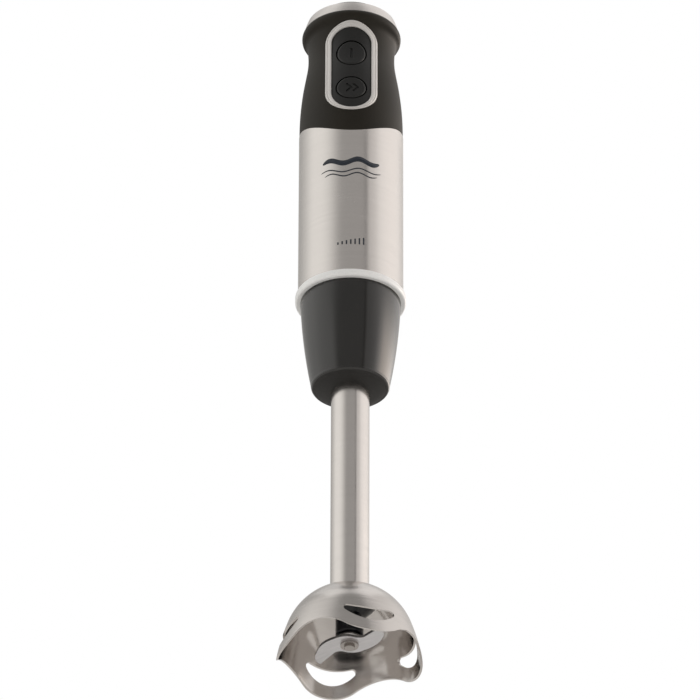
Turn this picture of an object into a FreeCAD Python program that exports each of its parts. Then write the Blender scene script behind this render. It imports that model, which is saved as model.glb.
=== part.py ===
import FreeCAD, Part
import math
import os
import re

import Sketcher
from FreeCAD import Placement, Rotation, Vector

# Immersion blender.  Z runs up the axis of the blender, the buttons face -Y, and the origin is on
# the axis in the plane of the blade guard's lowest points.  All sizes are millimetres and degrees.

SIZES = {
    # blade guard
    "guard_radius": 39.4, "guard_wall": 1.2, "guard_height": 44.6,
    "guard_side_bow": 0.5, "guard_dome_bow": 3.7,
    "guard_shoulder_radius": 33.5, "guard_shoulder_height": 22.5,
    "wave_height": 9.0, "wave_crest_share": 0.53, "lobe_turn": 18.0,
    "window_sill": 6.9, "window_head": 15.3, "window_half_width": 13.6, "window_corner": 13.2,
    "window_end": 16.7, "window_end_inset": 1.6, "window_end_bow": 1.2,
    # foot
    "tube_radius": 10.5, "tube_wall": 0.9,
    "foot_reach": 173.7, "collar_height": 53.5, "collar_taper": 7.4, "collar_inset": 1.4,
    "collar_wall": 2.4, "collar_bow": 1.0, "collar_under_depth": 4.2, "collar_floor": 2.8,
    "collar_edge": 2.2, "collar_edge_low": 1.7, "collar_edge_high": 0.9,
    "core_wall": 2.5, "core_length": 23.5, "core_flange": 3.0,
    "socket_wall": 3.7, "spigot_wall": 2.4, "spigot_height": 33.0,
    "lug_half_angle": 9.0, "lug_height": 2.5, "lug_reach": 1.6, "lug_drop": 4.5, "lug_count": 3.0,
    "twist_angle": 20.0, "slot_clearance": 1.5,
    # drive shaft and blade
    "shaft_radius": 3.0, "running_gap": 0.05, "body_gap": 0.3, "stub_radius": 2.0,
    "bush_radius": 5.0, "bush_length": 14.0, "seal_length": 2.8,
    "bearing_low": 17.5, "bearing_radius": 7.5, "bearing_neck": 11.5, "bearing_flare_radius": 12.0,
    "bearing_rim_radius": 14.0, "bearing_rim_low": 33.8, "bearing_rim_top": 39.8, "bearing_plug": 22.0,
    "clip_height": 0.7, "spacer_radius": 6.7, "spacer_height": 3.2, "blade_seat": 13.9,
    "blade_thickness": 1.5,
    "blade_tip_radius": 24.8, "blade_hub_radius": 8.4, "blade_droop": 1.2, "blade_flat": 9.0,
    "blade_shoulder": 9.8, "blade_turn": 51.0, "blade_back_bow": 1.3, "blade_nose_bow": 2.0,
    "blade_edge_bow": 1.6, "blade_waist_bow": 0.9, "blade_root": 2.7,
    "washer_radius": 4.9, "washer_height": 1.2, "nut_radius": 2.9, "nut_height": 1.6, "nut_edge": 0.4,
    "coupling_radius": 8.0, "coupling_core": 5.0, "hub_height": 6.0, "dog_height": 11.0, "dog_gap": 0.5,
    "foot_dog_half_angle": 35.0, "motor_dog_half_angle": 20.0,
    # motor unit, outside
    "ring_height": 4.0, "ring_proud": 1.5, "ring_edge": 0.9, "ring_bow": 0.25, "ring_hook": 1.6,
    "ledge_drop": 0.3, "ledge_gap": 0.15,
    "sleeve_radius": 28.9, "sleeve_wall": 0.8, "sleeve_height": 104.1, "saddle_drop": 12.6,
    "housing_gap": 0.1, "housing_wall": 2.2, "grip_inset": 0.2, "grip_wall": 2.4, "grip_shell": 2.0,
    "handle_height": 69.3, "band_height": 6.5, "skirt_height": 2.5, "swell_draw": 2.9,
    "swell_height": 35.0, "waist_draw": 4.25, "waist_low": 43.1, "neck_draw": 4.4, "waist_high": 59.9,
    "lip_draw": 2.3, "lip_low": 64.0, "lip_reach": 1.35, "lip_height": 66.6,
    "swell_bow": 0.67, "neck_bow": 0.62, "lip_low_bow": 0.5, "lip_side_bow": 0.25, "lip_top_bow": 0.3,
    "bezel_half_width": 14.5, "bezel_low": 14.4, "bezel_high": 50.6, "bezel_crown": 12.5,
    "bezel_heel": 13.3, "bezel_band": 3.4, "bezel_foot": 1.8, "bezel_proud": 0.7,
    "panel_depth": 0.6, "panel_wall": 2.0, "button_depth": 0.2, "button_gap": 0.6,
    "on_height": 41.9, "on_half_width": 8.0, "on_half_height": 8.5,
    "turbo_height": 16.7, "turbo_half_width": 8.2, "turbo_half_height": 7.2,
    "button_flange": 1.1, "button_plate": 1.2, "button_back": 17.5, "stem_radius": 2.0, "stem_end": 12.2,
    # top of the handle
    "cap_plate": 2.0, "hub_radius": 7.4, "gland_seat_radius": 5.2, "hub_rise": 9.1,
    "dial_inset": 2.0, "dial_height": 6.5, "dial_rim": 1.2, "dial_dome": 1.6, "dial_flat_radius": 12.0,
    "dial_wall": 2.0,
    "band_wall": 1.6, "band_flange": 5.6, "band_draw": 1.95,
    "gland_bore": 3.5, "gland_flange_radius": 6.9, "gland_tip_radius": 4.4, "gland_height": 6.8,
    "gland_tail": 9.0, "board_plate": 1.5, "wiper_radius": 15.0, "wiper_half_width": 1.6,
    # motor unit, inside
    "socket_lip": 1.5, "socket_height": 10.0, "socket_floor": 2.0, "socket_bore": 9.5, "socket_flange": 2.4,
    "seal_height": 0.7, "seal_width": 2.0,
    "bracket_low": 18.5, "bracket_plate": 3.0, "bracket_gap": 1.2, "bearing_seat": 9.0,
    "bearing_outer": 6.5, "bearing_height": 6.0, "motor_shaft_radius": 2.5, "vent_radius": 3.0,
    "vent_circle": 15.0, "mount_height": 5.0, "mount_drop": 1.0, "bolt_radius": 1.5,
    "bolt_hole_radius": 1.6, "bolt_head_radius": 2.8, "bolt_head": 2.5,
    "fan_low": 24.0, "fan_radius": 18.5, "fan_height": 10.0, "fan_plate": 1.2, "fan_blade": 1.2,
    "stack_low": 38.5, "stack_height": 30.0, "stator_gap": 2.4, "yoke_wall": 4.2,
    "armature_slots": 12.0, "commutator_bars": 18.0, "fan_vanes": 10.0, "air_gap": 0.5,
    "armature_radius": 11.9, "pole_half_width": 8.0, "coil_thickness": 4.2,
    "coil_half_width": 12.5, "slot_width": 1.6, "slot_depth": 4.0, "winding_height": 3.4,
    "winding_top": 5.0, "commutator_low": 74.5, "commutator_height": 9.0, "commutator_radius": 7.0,
    "brush_width": 5.0, "brush_height": 6.0, "brush_end": 14.5, "holder_start": 9.0, "holder_end": 19.3,
    "holder_wall": 1.5, "spring_radius": 1.9, "spring_wire": 0.5, "upper_bracket_low": 84.0,
    # handle electronics and screws
    "board_face": 3.0, "board_thickness": 1.6, "board_half_width": 12.5, "board_low": 6.4,
    "board_high": 52.4, "switch_depth": 6.5, "switch_length": 12.8, "switch_height": 6.0,
    "plunger_radius": 1.2, "plunger_hole": 4.5, "plunger_root": 7.0, "press_gap": 0.1,
    "capacitor_left": 9.0, "capacitor_right": 6.0, "capacitor_depth": 9.0, "capacitor_low": 2.0,
    "capacitor_high": 15.0, "power_half_width": 5.0, "power_depth": 4.5, "power_low": 20.0,
    "power_high": 35.0, "sink_half_width": 9.0, "sink_root": 6.0, "sink_depth": 13.0, "sink_low": 18.0,
    "sink_high": 40.0, "fin_thickness": 1.6,
    "screw_low": 10.4, "screw_low_draw": 0.45, "screw_high": 58.4, "screw_high_draw": 4.42,
    "boss_radius": 3.6, "boss_inset": 5.0, "boss_length": 11.0,
    "screw_radius": 1.4, "screw_head_radius": 2.6, "screw_head": 2.0, "screw_depth": 9.0,
}

# Heights of the main joints between pieces, from the lowest one up.
COLLAR_TOP = "(foot_reach + collar_height)"
RING_LOW = f"({COLLAR_TOP} + body_gap)"
SLEEVE_LOW = f"({RING_LOW} + ring_height)"
SHOULDER = f"({SLEEVE_LOW} + sleeve_height)"
BAND_LOW = f"({SHOULDER} + handle_height)"
BAND_TOP = f"({BAND_LOW} + band_height)"
GUARD_INNER_TOP = "(guard_height - guard_wall)"
CORE_LOW = "(foot_reach + collar_floor)"
CORE_TOP = f"({CORE_LOW} + core_length)"
TUBE_TOP = f"({CORE_TOP} + core_flange)"
SPIGOT_TOP = f"({TUBE_TOP} + spigot_height)"
SOCKET_LOW = f"({RING_LOW} + socket_lip)"
SOCKET_ROOF = f"({SOCKET_LOW} + socket_height - socket_floor)"
FOOT_HUB_LOW = f"({TUBE_TOP} + 2)"
FOOT_HUB_TOP = f"({FOOT_HUB_LOW} + hub_height)"
MOTOR_HUB_LOW = f"({FOOT_HUB_TOP} + dog_height + dog_gap)"
BRACKET = f"({RING_LOW} + bracket_low)"
UPPER_BRACKET = f"({RING_LOW} + upper_bracket_low)"
STACK = f"({RING_LOW} + stack_low)"
COMMUTATOR = f"({RING_LOW} + commutator_low)"
HOUSING_OUTER = "(sleeve_radius - sleeve_wall - housing_gap)"
HOUSING_INNER = f"({HOUSING_OUTER} - housing_wall)"
HOUSING_STEP = f"({SHOULDER} - saddle_drop - 1.2)"
DIAL_LOW = f"({BAND_TOP} + body_gap)"

# Sizes that follow from the pieces that they fit to.
FITS = {
    "collar_low_radius": "(sleeve_radius - collar_taper)",
    "saddle_radius": "(saddle_drop / 2 + sleeve_radius ^ 2 / (2 * saddle_drop))",
    "spigot_radius": f"({HOUSING_INNER} - socket_wall - body_gap)",
    "bracket_radius": f"({HOUSING_INNER} - bracket_gap)",
    "stator_radius": f"({HOUSING_INNER} - stator_gap)",
    "stator_inner": f"({HOUSING_INNER} - stator_gap - yoke_wall)",
    "bolt_circle": f"({HOUSING_INNER} - stator_gap - yoke_wall / 2)",
    "cap_radius": "(sleeve_radius - grip_inset - lip_draw - grip_wall - grip_shell)",
}

doc = FreeCAD.newDocument("ImmersionBlender")
sheet = doc.addObject("Spreadsheet::Sheet", "Sizes")
for row, (alias, size) in enumerate(SIZES.items(), start=1):
    sheet.set(f"A{row}", alias)
    sheet.set(f"B{row}", str(size))
    sheet.setAlias(f"B{row}", alias)
doc.recompute()

pieces = []


def bound(formula):
    """The formula with fitted sizes written out and every size name turned into a reference."""
    full = re.sub(r"[a-z_]+", lambda word: FITS.get(word.group(), word.group()), str(formula))
    return re.sub(r"[a-z_]+", lambda word: "Sizes." * (word.group() in SIZES) + word.group(), full)


def value(formula):
    """The number that a formula in size names stands for now."""
    return float(sheet.evalExpression(bound(formula)))


def bind(thing, **formulas):
    """Tie properties to formulas; a double underscore in a name stands for a dot."""
    for name, formula in formulas.items():
        thing.setExpression(name.replace("__", "."), bound(formula))


def keep(thing, label):
    """Name a finished piece and put it on the list of pieces."""
    thing.Label = label
    pieces.append(thing)
    return thing


def back_along(line):
    """The same line drawn the other way; each bow belongs to the edge that leads to its corner."""
    result = [line[-1][:2]]
    for here, before in zip(line[:0:-1], line[-2::-1]):
        result.append((before[0], before[1], f"-({here[2]})") if len(here) == 3 else before[:2])
    return result


def draw(sketch, corners):
    """A closed outline.  A corner is (across, up) or (across, up, bow), where bow is how far the
    edge that leads to it swells to the left of its own direction."""
    points = [Vector(value(corner[0]), value(corner[1]), 0) for corner in corners]
    rules = []
    edges = []
    for number, corner in enumerate(corners):
        start, end = points[number - 1], points[number]
        if len(corner) == 3:
            chord = end - start
            left = Vector(-chord.y, chord.x, 0).normalize()
            middle = (start + end) * 0.5 + left * value(corner[2])
            edge = sketch.addGeometry(Part.Arc(start, middle, end), False)
            (u, v), (x, y) = corners[number - 1][:2], corner[:2]
            half = f"((({x}) - ({u})) ^ 2 + (({y}) - ({v})) ^ 2) / 4"
            rules.append(("Radius", edge, None, f"({half} + ({corner[2]}) ^ 2) / (2 * abs({corner[2]}))"))
            first = 1 if (sketch.getPoint(edge, 1) - start).Length < 1e-6 else 2
        else:
            edge = sketch.addGeometry(Part.LineSegment(start, end), False)
            first = 1
        edges.append((edge, first, 3 - first))
        rules.append(("DistanceX", edge, 3 - first, corner[0]))
        rules.append(("DistanceY", edge, 3 - first, corner[1]))
    joins = [Sketcher.Constraint("Coincident", edges[i - 1][0], edges[i - 1][2], edges[i][0], edges[i][1])
             for i in range(len(edges))]
    sketch.addConstraint(joins)
    for kind, edge, end, formula in rules:
        where = (edge,) if end is None else (edge, end)
        number = sketch.addConstraint(Sketcher.Constraint(kind, *where, value(formula)))
        sketch.setExpression(f"Constraints[{number}]", bound(formula))


def sketch_in(body, plane, corners, height=None, turn=0):
    """A sketch on one of the body's planes, raised along the plane's normal or turned in it."""
    sketch = body.newObject("Sketcher::SketchObject", body.Name + "_outline")
    role = [item for item in body.Origin.OriginFeatures if item.Role == plane][0]
    sketch.AttachmentSupport = (role, [""])
    sketch.MapMode = "FlatFace"
    if turn:
        sketch.AttachmentOffset = Placement(Vector(0, 0, 0), Rotation(Vector(0, 1, 0), turn))
    if height is not None:
        bind(sketch, AttachmentOffset__Base__z=height)
    draw(sketch, corners)
    return sketch


def feature(body, kind, sketch, **settings):
    """A PartDesign feature on a sketch; text settings are formulas, others are set as they are."""
    made = body.newObject("PartDesign::" + kind, body.Name + "_" + kind.lower())
    made.Profile = sketch
    if kind in ("Revolution", "Groove"):
        made.ReferenceAxis = (sketch, ["V_Axis"])
    for name, setting in settings.items():
        if isinstance(setting, str) and name in ("Length", "Angle"):
            bind(made, **{name: setting})
        else:
            setattr(made, name, setting)
    return made


def around(body, features, count, angle="360"):
    """Repeat features about the Z axis."""
    pattern = body.newObject("PartDesign::PolarPattern", body.Name + "_pattern")
    pattern.Originals = features
    pattern.Axis = ([item for item in body.Origin.OriginFeatures if item.Role == "Z_Axis"][0], [""])
    bind(pattern, Angle=angle, Occurrences=str(count))
    body.Tip = pattern
    return pattern


def new_body(name):
    """An empty body of that name."""
    return doc.addObject("PartDesign::Body", name)


def turned(name, corners, angle="360", flip=False):
    """A body turned about Z from an outline of (radius, height) corners."""
    body = new_body(name)
    feature(body, "Revolution", sketch_in(body, "XZ_Plane", corners), Angle=angle, Reversed=flip)
    return body


def ring(name, inner, outer, low, high):
    return turned(name, [(inner, low), (outer, low), (outer, high), (inner, high)])


def rectangle(left, low, right, high):
    return [(left, low), (right, low), (right, high), (left, high)]


def ellipse(x, z, half_width, half_height, first=0, last=360):
    """Corners on an ellipse 45 degrees apart, joined by arcs that follow it."""
    corners = []
    for angle in range(first, last + 1 if last - first < 360 else last, 45):
        corner = (f"{x} + {half_width} * cos({angle})", f"{z} + {half_height} * sin({angle})")
        if angle > first or last - first >= 360:
            middle = angle - 22.5
            reach = f"sqrt(({half_width} * sin({middle})) ^ 2 + ({half_height} * cos({middle})) ^ 2)"
            corner += (f"-(1 - cos(22.5)) * {half_width} * {half_height} / {reach}",)
        corners.append(corner)
    return corners


def sector(inner, outer, half_angle, middle="0"):
    """The outline of a piece of a flat ring, centred on the angle middle."""
    low, high = f"({middle} - {half_angle})", f"({middle} + {half_angle})"
    sag = f"(1 - cos({half_angle}))"
    return [(f"{inner} * cos({low})", f"{inner} * sin({low})", f"{inner} * {sag}"),
            (f"{outer} * cos({low})", f"{outer} * sin({low})"),
            (f"{outer} * cos({high})", f"{outer} * sin({high})", f"-{outer} * {sag}"),
            (f"{inner} * cos({high})", f"{inner} * sin({high})")]


def prism(name, corners, near, far, plane="XZ_Plane"):
    """A straight block from an outline, between two heights along the plane's normal."""
    body = new_body(name)
    feature(body, "Pad", sketch_in(body, plane, corners, near), Length=f"({far}) - ({near})")
    return body


def combine(name, kind, base, tool):
    """A Part boolean of two objects: Cut, Common or Fuse."""
    made = doc.addObject("Part::" + kind, name)
    made.Base = base
    made.Tool = tool
    made.Refine = True
    return made


def cylinder(name, radius, length, x="0", y="0", z="0", along=None):
    made = doc.addObject("Part::Cylinder", name)
    if along is not None:
        made.Placement = Placement(Vector(0, 0, 0), Rotation(Vector(0, 0, 1), along))
    bind(made, Radius=radius, Height=length, Placement__Base__x=x, Placement__Base__y=y, Placement__Base__z=z)
    return made


def box(name, x, y, z):
    """A box between the two formulas given for each axis."""
    made = doc.addObject("Part::Box", name)
    bind(made, Length=f"({x[1]}) - ({x[0]})", Width=f"({y[1]}) - ({y[0]})", Height=f"({z[1]}) - ({z[0]})",
         Placement__Base__x=x[0], Placement__Base__y=y[0], Placement__Base__z=z[0])
    return made


def grip_line(depth, low, high=BAND_LOW):
    """The handle's side from low up to high, moved inwards by depth: a straight skirt, a swell
    that draws in to the waist, and a lip that flares out under the top band."""
    inset = f"sleeve_radius - {depth}"
    return [(f"{inset} - grip_inset", low),
            (f"{inset} - grip_inset", f"{SHOULDER} + skirt_height"),
            (f"{inset} - swell_draw", f"{SHOULDER} + swell_height", "-swell_bow"),
            (f"{inset} - waist_draw", f"{SHOULDER} + waist_low"),
            (f"{inset} - neck_draw", f"{SHOULDER} + waist_high", "neck_bow"),
            (f"{inset} - lip_draw", f"{SHOULDER} + lip_low", "lip_low_bow"),
            (f"{inset} - lip_reach", f"{SHOULDER} + lip_height", "-lip_side_bow"),
            (f"{inset} - lip_draw", high, "-lip_top_bow")]


# ---------------------------------------------------------------- foot

def make_guard():
    """Domed blade guard with a wavy rim: a cosine-like wave of four lobes with a window in each."""
    body = turned("blade_guard", [
        ("guard_radius", "0"),
        ("guard_shoulder_radius", "guard_shoulder_height", "-guard_side_bow"),
        ("tube_radius", "guard_height", "-guard_dome_bow"),
        ("tube_radius", GUARD_INNER_TOP),
        ("guard_shoulder_radius - guard_wall", "guard_shoulder_height - guard_wall / 3", "guard_dome_bow"),
        ("guard_radius - guard_wall", "0", "guard_side_bow")])
    half = "(guard_radius * sin(45))"
    slope = f"atan(wave_height / {half})"
    tip_bow = f"(1 - wave_crest_share) * {half} / sin(2 * {slope}) * (1 - cos({slope}))"
    knee = f"wave_crest_share * {half}"
    knee_height = "wave_height * (1 - wave_crest_share)"
    wave = [(f"-{half}", "-2"), (half, "-2"), (half, "0"), (knee, knee_height, tip_bow),
            (f"-{knee}", knee_height, "-wave_height * wave_crest_share"), (f"-{half}", "0", tip_bow)]
    rim = feature(body, "Pocket", sketch_in(body, "XZ_Plane", wave), Length="guard_radius + 5")
    window = [("window_half_width", "window_corner", "-(window_corner - window_sill)"),
              ("window_half_width - window_end_inset", "window_end", "-window_end_bow"),
              ("window_end_inset - window_half_width", "window_end", "window_end - window_head"),
              ("-window_half_width", "window_corner", "-window_end_bow")]
    side = sketch_in(body, "XZ_Plane", window, turn=45)
    opening = feature(body, "Pocket", side, Length="guard_radius + 5")
    around(body, [rim, opening], 4)
    body.Placement = Placement(Vector(0, 0, 0), Rotation(Vector(0, 0, 1), value("lobe_turn - 45")))
    keep(body, "blade_guard")


def make_foot_tube():
    keep(ring("foot_tube", "tube_radius - tube_wall", "tube_radius", GUARD_INNER_TOP, TUBE_TOP), "foot_tube")


def make_bearing_housing():
    """Black plastic nose inside the guard, plugged into the tube, with the bush and seal inside."""
    seat = "bush_radius"
    top = "bearing_low + 1 + seal_length + bush_length"
    keep(turned("bearing_housing", [
        ("shaft_radius + 0.6", "bearing_low"), ("bearing_radius - 0.8", "bearing_low"),
        ("bearing_radius", "bearing_low + 0.8", "-0.2"), ("bearing_radius", "bearing_low + bearing_neck"),
        ("bearing_flare_radius", "bearing_rim_low"), ("bearing_rim_radius", "bearing_rim_low + 2"),
        ("bearing_rim_radius", "bearing_rim_top"), ("tube_radius - tube_wall", "bearing_rim_top"),
        ("tube_radius - tube_wall", "bearing_rim_top + bearing_plug"),
        (seat, "bearing_rim_top + bearing_plug"), (seat, top), (seat, "bearing_low + 1"),
        ("shaft_radius + 0.6", "bearing_low + 1")]), "bearing_housing")
    inner = "shaft_radius + running_gap"
    keep(ring("shaft_seal", inner, seat, "bearing_low + 1", "bearing_low + 1 + seal_length"), "shaft_seal")
    keep(ring("lower_bush", inner, seat, "bearing_low + 1 + seal_length", top), "lower_bush")
    keep(ring("upper_bush", inner, "tube_radius - tube_wall", f"{TUBE_TOP} - bush_length - 1",
              f"{TUBE_TOP} - 1"), "upper_bush")


def make_collar():
    """Tapered cover between the tube and the motor unit, closed underneath by a shallow cone."""
    keep(turned("collar", [
        ("tube_radius", "foot_reach - collar_under_depth"),
        ("collar_low_radius - collar_edge", "foot_reach - collar_edge_low", "-0.5"),
        ("collar_low_radius", "foot_reach + collar_edge_high", "-0.7"),
        ("sleeve_radius - collar_inset", COLLAR_TOP, "-collar_bow"),
        ("sleeve_radius - collar_inset - collar_wall", COLLAR_TOP),
        ("collar_low_radius - collar_wall", "foot_reach + collar_floor + 1", "collar_bow"),
        ("collar_low_radius - collar_wall - 1", CORE_LOW),
        ("tube_radius", CORE_LOW)]), "collar")


def make_foot_core():
    """Inner part of the foot: a long hub on the tube, and the spigot with its bayonet lugs."""
    body = turned("foot_core", [
        ("tube_radius", CORE_LOW), ("tube_radius + core_wall", CORE_LOW),
        ("tube_radius + core_wall", CORE_TOP),
        ("spigot_radius", CORE_TOP), ("spigot_radius", SPIGOT_TOP),
        ("spigot_radius - spigot_wall", SPIGOT_TOP), ("spigot_radius - spigot_wall", TUBE_TOP),
        ("tube_radius", TUBE_TOP)])
    lug = sector("(spigot_radius - 0.6)", "(spigot_radius + lug_reach)", "lug_half_angle")
    low = f"{SPIGOT_TOP} - lug_drop"
    pad = feature(body, "Pad", sketch_in(body, "XY_Plane", lug, low), Length="lug_height")
    around(body, [pad], "lug_count")
    keep(body, "foot_core")


def make_face_seal():
    inner = "(spigot_radius - spigot_wall / 2 - seal_width / 2)"
    low = f"(({SPIGOT_TOP} + {SOCKET_ROOF} - seal_height) / 2)"
    keep(ring("face_seal", inner, f"{inner} + seal_width", low, f"{low} + seal_height"), "face_seal")


# ---------------------------------------------------------------- drive shaft and blade

def make_drive_shaft():
    keep(turned("drive_shaft", [
        ("0", "blade_seat - blade_thickness - washer_height - nut_height / 2"),
        ("stub_radius", "blade_seat - blade_thickness - washer_height - nut_height / 2"),
        ("stub_radius", "blade_seat"), ("shaft_radius", "blade_seat"),
        ("shaft_radius", FOOT_HUB_TOP), ("0", FOOT_HUB_TOP)]), "drive_shaft")
    keep(ring("spacer_ring", "shaft_radius", "spacer_radius", "blade_seat", "blade_seat + spacer_height"),
         "spacer_ring")
    keep(ring("retaining_clip", "shaft_radius", "bush_radius", f"{TUBE_TOP} - clip_height", TUBE_TOP),
         "retaining_clip")


def make_blade():
    """Two-winged sickle blade: a strip that droops at both ends, trimmed to an S outline."""
    body = new_body("blade_strip")
    under = "(blade_seat - blade_thickness)"
    strip = [("-blade_tip_radius - 1", f"{under} - blade_droop"), ("-blade_flat", under),
             ("blade_flat", under),
             ("blade_tip_radius + 1", f"{under} - blade_droop"),
             ("blade_tip_radius + 1", "blade_seat - blade_droop"), ("blade_flat", "blade_seat"),
             ("-blade_flat", "blade_seat"), ("-blade_tip_radius - 1", "blade_seat - blade_droop")]
    pad = feature(body, "Pad", sketch_in(body, "XZ_Plane", strip), Length="2 * blade_tip_radius")
    pad.SideType = "Symmetric"
    half = [("0", "blade_shoulder", "blade_back_bow"),
            ("0.72 * blade_tip_radius", "0.84 * blade_shoulder", "blade_nose_bow"),
            ("blade_tip_radius", "0", "blade_edge_bow"),
            ("blade_hub_radius + blade_root", "blade_root / 3"),
            ("0.87 * blade_hub_radius", "-0.48 * blade_hub_radius", "-blade_waist_bow")]
    rest = [tuple([f"-({x})", f"-({y})"] + list(bow)) for x, y, *bow in half]
    solid = prism("blade_outline", half + rest, "0", "blade_seat + 5", "XY_Plane")
    whole = combine("blade_trimmed", "Common", body, solid)
    blade = combine("blade_bored", "Cut", whole, cylinder("blade_bore", "stub_radius", "blade_seat + 5"))
    blade.Placement = Placement(Vector(0, 0, 0), Rotation(Vector(0, 0, 1), -value("blade_turn")))
    keep(blade, "blade")
    washer = f"({under} - washer_height)"
    low = f"({washer} - nut_height)"
    keep(turned("blade_nut", [
        ("0", low), ("nut_radius - nut_edge", low), ("nut_radius", f"{low} + nut_edge"),
        ("nut_radius", washer),
        ("washer_radius", washer), ("washer_radius", under), ("stub_radius", under),
        ("stub_radius", f"{low} + nut_height / 2"), ("0", f"{low} + nut_height / 2")]), "blade_nut")


def make_coupling(name, low, dogs_up, half_angle, bore, first):
    """One half of the drive coupling: a disc with two dogs that stand between the other half's."""
    body = turned(name, rectangle(bore, low, "coupling_radius", f"{low} + hub_height"))
    dog = sector("coupling_core", "coupling_radius", half_angle, first)
    start = f"{low} + hub_height" if dogs_up else low
    pad = feature(body, "Pad", sketch_in(body, "XY_Plane", dog, start), Length="dog_height",
                  Reversed=not dogs_up)
    around(body, [pad], 2)
    keep(body, name)


# ---------------------------------------------------------------- motor unit, outside

def make_trim_ring():
    seat = "(sleeve_radius - sleeve_wall - housing_gap)"
    rim, edge = "(sleeve_radius + ring_proud)", "ring_edge"
    lip = "(sleeve_radius - collar_inset + ledge_gap)"
    keep(turned("trim_ring", [
        (f"{seat} - ring_hook", RING_LOW), (lip, RING_LOW), (lip, f"{RING_LOW} - ledge_drop"),
        (f"{rim} - {edge}", f"{RING_LOW} - ledge_drop"),
        (rim, f"{RING_LOW} + {edge}", "-ring_bow"), (rim, f"{SLEEVE_LOW} - {edge}"),
        (f"{rim} - {edge}", SLEEVE_LOW, "-ring_bow"), (seat, SLEEVE_LOW), (seat, SOCKET_LOW),
        (f"{seat} - ring_hook", SOCKET_LOW)]), "trim_ring")


def saddle_outline(above):
    """Side view of the saddle line, with everything above it or everything below it."""
    left, right = "-(sleeve_radius + 3)", "(sleeve_radius + 3)"
    low = f"({SHOULDER} - saddle_radius + sqrt(saddle_radius ^ 2 - {right} ^ 2))"
    rise = f"({SHOULDER} - {low})"
    if above:
        far = f"{SHOULDER} + 5"
        return [(left, low), (right, low, rise), (right, far), (left, far)]
    far = f"{low} - 20"
    return [(right, low), (left, low, f"-{rise}"), (left, far), (right, far)]


def make_sleeve():
    body = ring("steel_sleeve", "sleeve_radius - sleeve_wall", "sleeve_radius", SLEEVE_LOW, SHOULDER)
    cut = feature(body, "Pocket", sketch_in(body, "YZ_Plane", saddle_outline(True)),
                  Length="3 * sleeve_radius")
    cut.SideType = "Symmetric"
    keep(body, "steel_sleeve")


def bezel_outline(side, crown, heel):
    """Tall oval: straight sides, a high elliptical crown and a flatter elliptical heel."""
    low, high = f"{SHOULDER} + bezel_low", f"{SHOULDER} + bezel_high"
    width = f"(bezel_half_width - {side})"
    top = ellipse("0", f"({high})", width, f"(bezel_crown - {crown})", 0, 180)
    return top + ellipse("0", f"({low})", width, f"(bezel_heel - {heel})", 180, 360)


def shell_solid(name, outer, inner=None):
    """The handle's form between two depths, or solid up to the axis."""
    low = f"{SHOULDER} - 6"
    line = grip_line(outer, low)
    inside = back_along(grip_line(inner, low)) if inner else [("0", BAND_LOW), ("0", low)]
    return turned(name, line + inside)


def make_grip():
    """Soft sleeve over the handle, open at the front for the bezel, ending on the saddle line."""
    low = HOUSING_STEP
    body = turned("soft_grip", grip_line("0", low) + back_along(grip_line("grip_wall", low)))
    saddle = feature(body, "Pocket", sketch_in(body, "YZ_Plane", saddle_outline(False)),
                     Length="3 * sleeve_radius")
    saddle.SideType = "Symmetric"
    opening = sketch_in(body, "XZ_Plane", bezel_outline("0", "0", "0"))
    feature(body, "Pocket", opening, Length="2 * sleeve_radius", Reversed=True)
    keep(body, "soft_grip")


def boss_places():
    """Across and up of the four housing screws: formulas on the +X side and their mirror."""
    places = []
    for height, draw_in in (("screw_low", "screw_low_draw"), ("screw_high", "screw_high_draw")):
        across = f"(sleeve_radius - grip_inset - grip_wall - grip_shell - {draw_in} - boss_inset)"
        for side in ("", "-"):
            places.append((side + across, f"{SHOULDER} + {height}"))
    return places


def make_housing_half(name, front):
    """Half of the inner housing, with four screw bosses; the front half opens for the bezel."""
    step = HOUSING_STEP
    line = [(HOUSING_OUTER, SLEEVE_LOW), (HOUSING_OUTER, step)] + grip_line("grip_wall", step)
    depth = "(grip_wall + grip_shell)"
    inside = back_along(grip_line(depth, f"{step} - 1.5")) + [(HOUSING_INNER, f"{step} - 3"),
                                                              (HOUSING_INNER, SLEEVE_LOW)]
    body = turned(name, line + inside, "180", flip=front)
    for x, z in boss_places():
        boss = sketch_in(body, "XZ_Plane", ellipse(x, z, "boss_radius", "boss_radius"))
        feature(body, "Pad", boss, Length="boss_length", Reversed=not front)
    for x, z in boss_places():
        size = "(screw_radius + running_gap)"
        hole = sketch_in(body, "XZ_Plane", ellipse(x, z, size, size))
        feature(body, "Pocket", hole, Length="screw_depth + 0.6", Reversed=front)
    if front:
        opening = sketch_in(body, "XZ_Plane", bezel_outline("0", "0", "0"))
        feature(body, "Pocket", opening, Length="2 * sleeve_radius", Reversed=True)
    else:
        for x, z in boss_places():
            size = "(screw_head_radius + 0.3)"
            mouth = sketch_in(body, "XZ_Plane", ellipse(x, z, size, size), "-boss_length + screw_head")
            feature(body, "Pocket", mouth, Length="2 * sleeve_radius")
    keep(body, name)


def make_housing_screws():
    """Four screws that hold the two halves of the housing together."""
    parts = []
    for number, (x, z) in enumerate(boss_places()):
        seat = "(boss_length - screw_head)"
        shank = prism(f"screw_shank_{number}", ellipse(x, z, "screw_radius", "screw_radius"),
                      f"-{seat}", "screw_depth")
        head = prism(f"screw_head_{number}", ellipse(x, z, "screw_head_radius", "screw_head_radius"),
                     f"-{seat} - screw_head", f"-{seat}")
        parts.append(combine(f"screw_{number}", "Fuse", shank, head))
    group = doc.addObject("Part::Compound", "housing_screws")
    group.Links = parts
    keep(group, "housing_screws")


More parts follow.
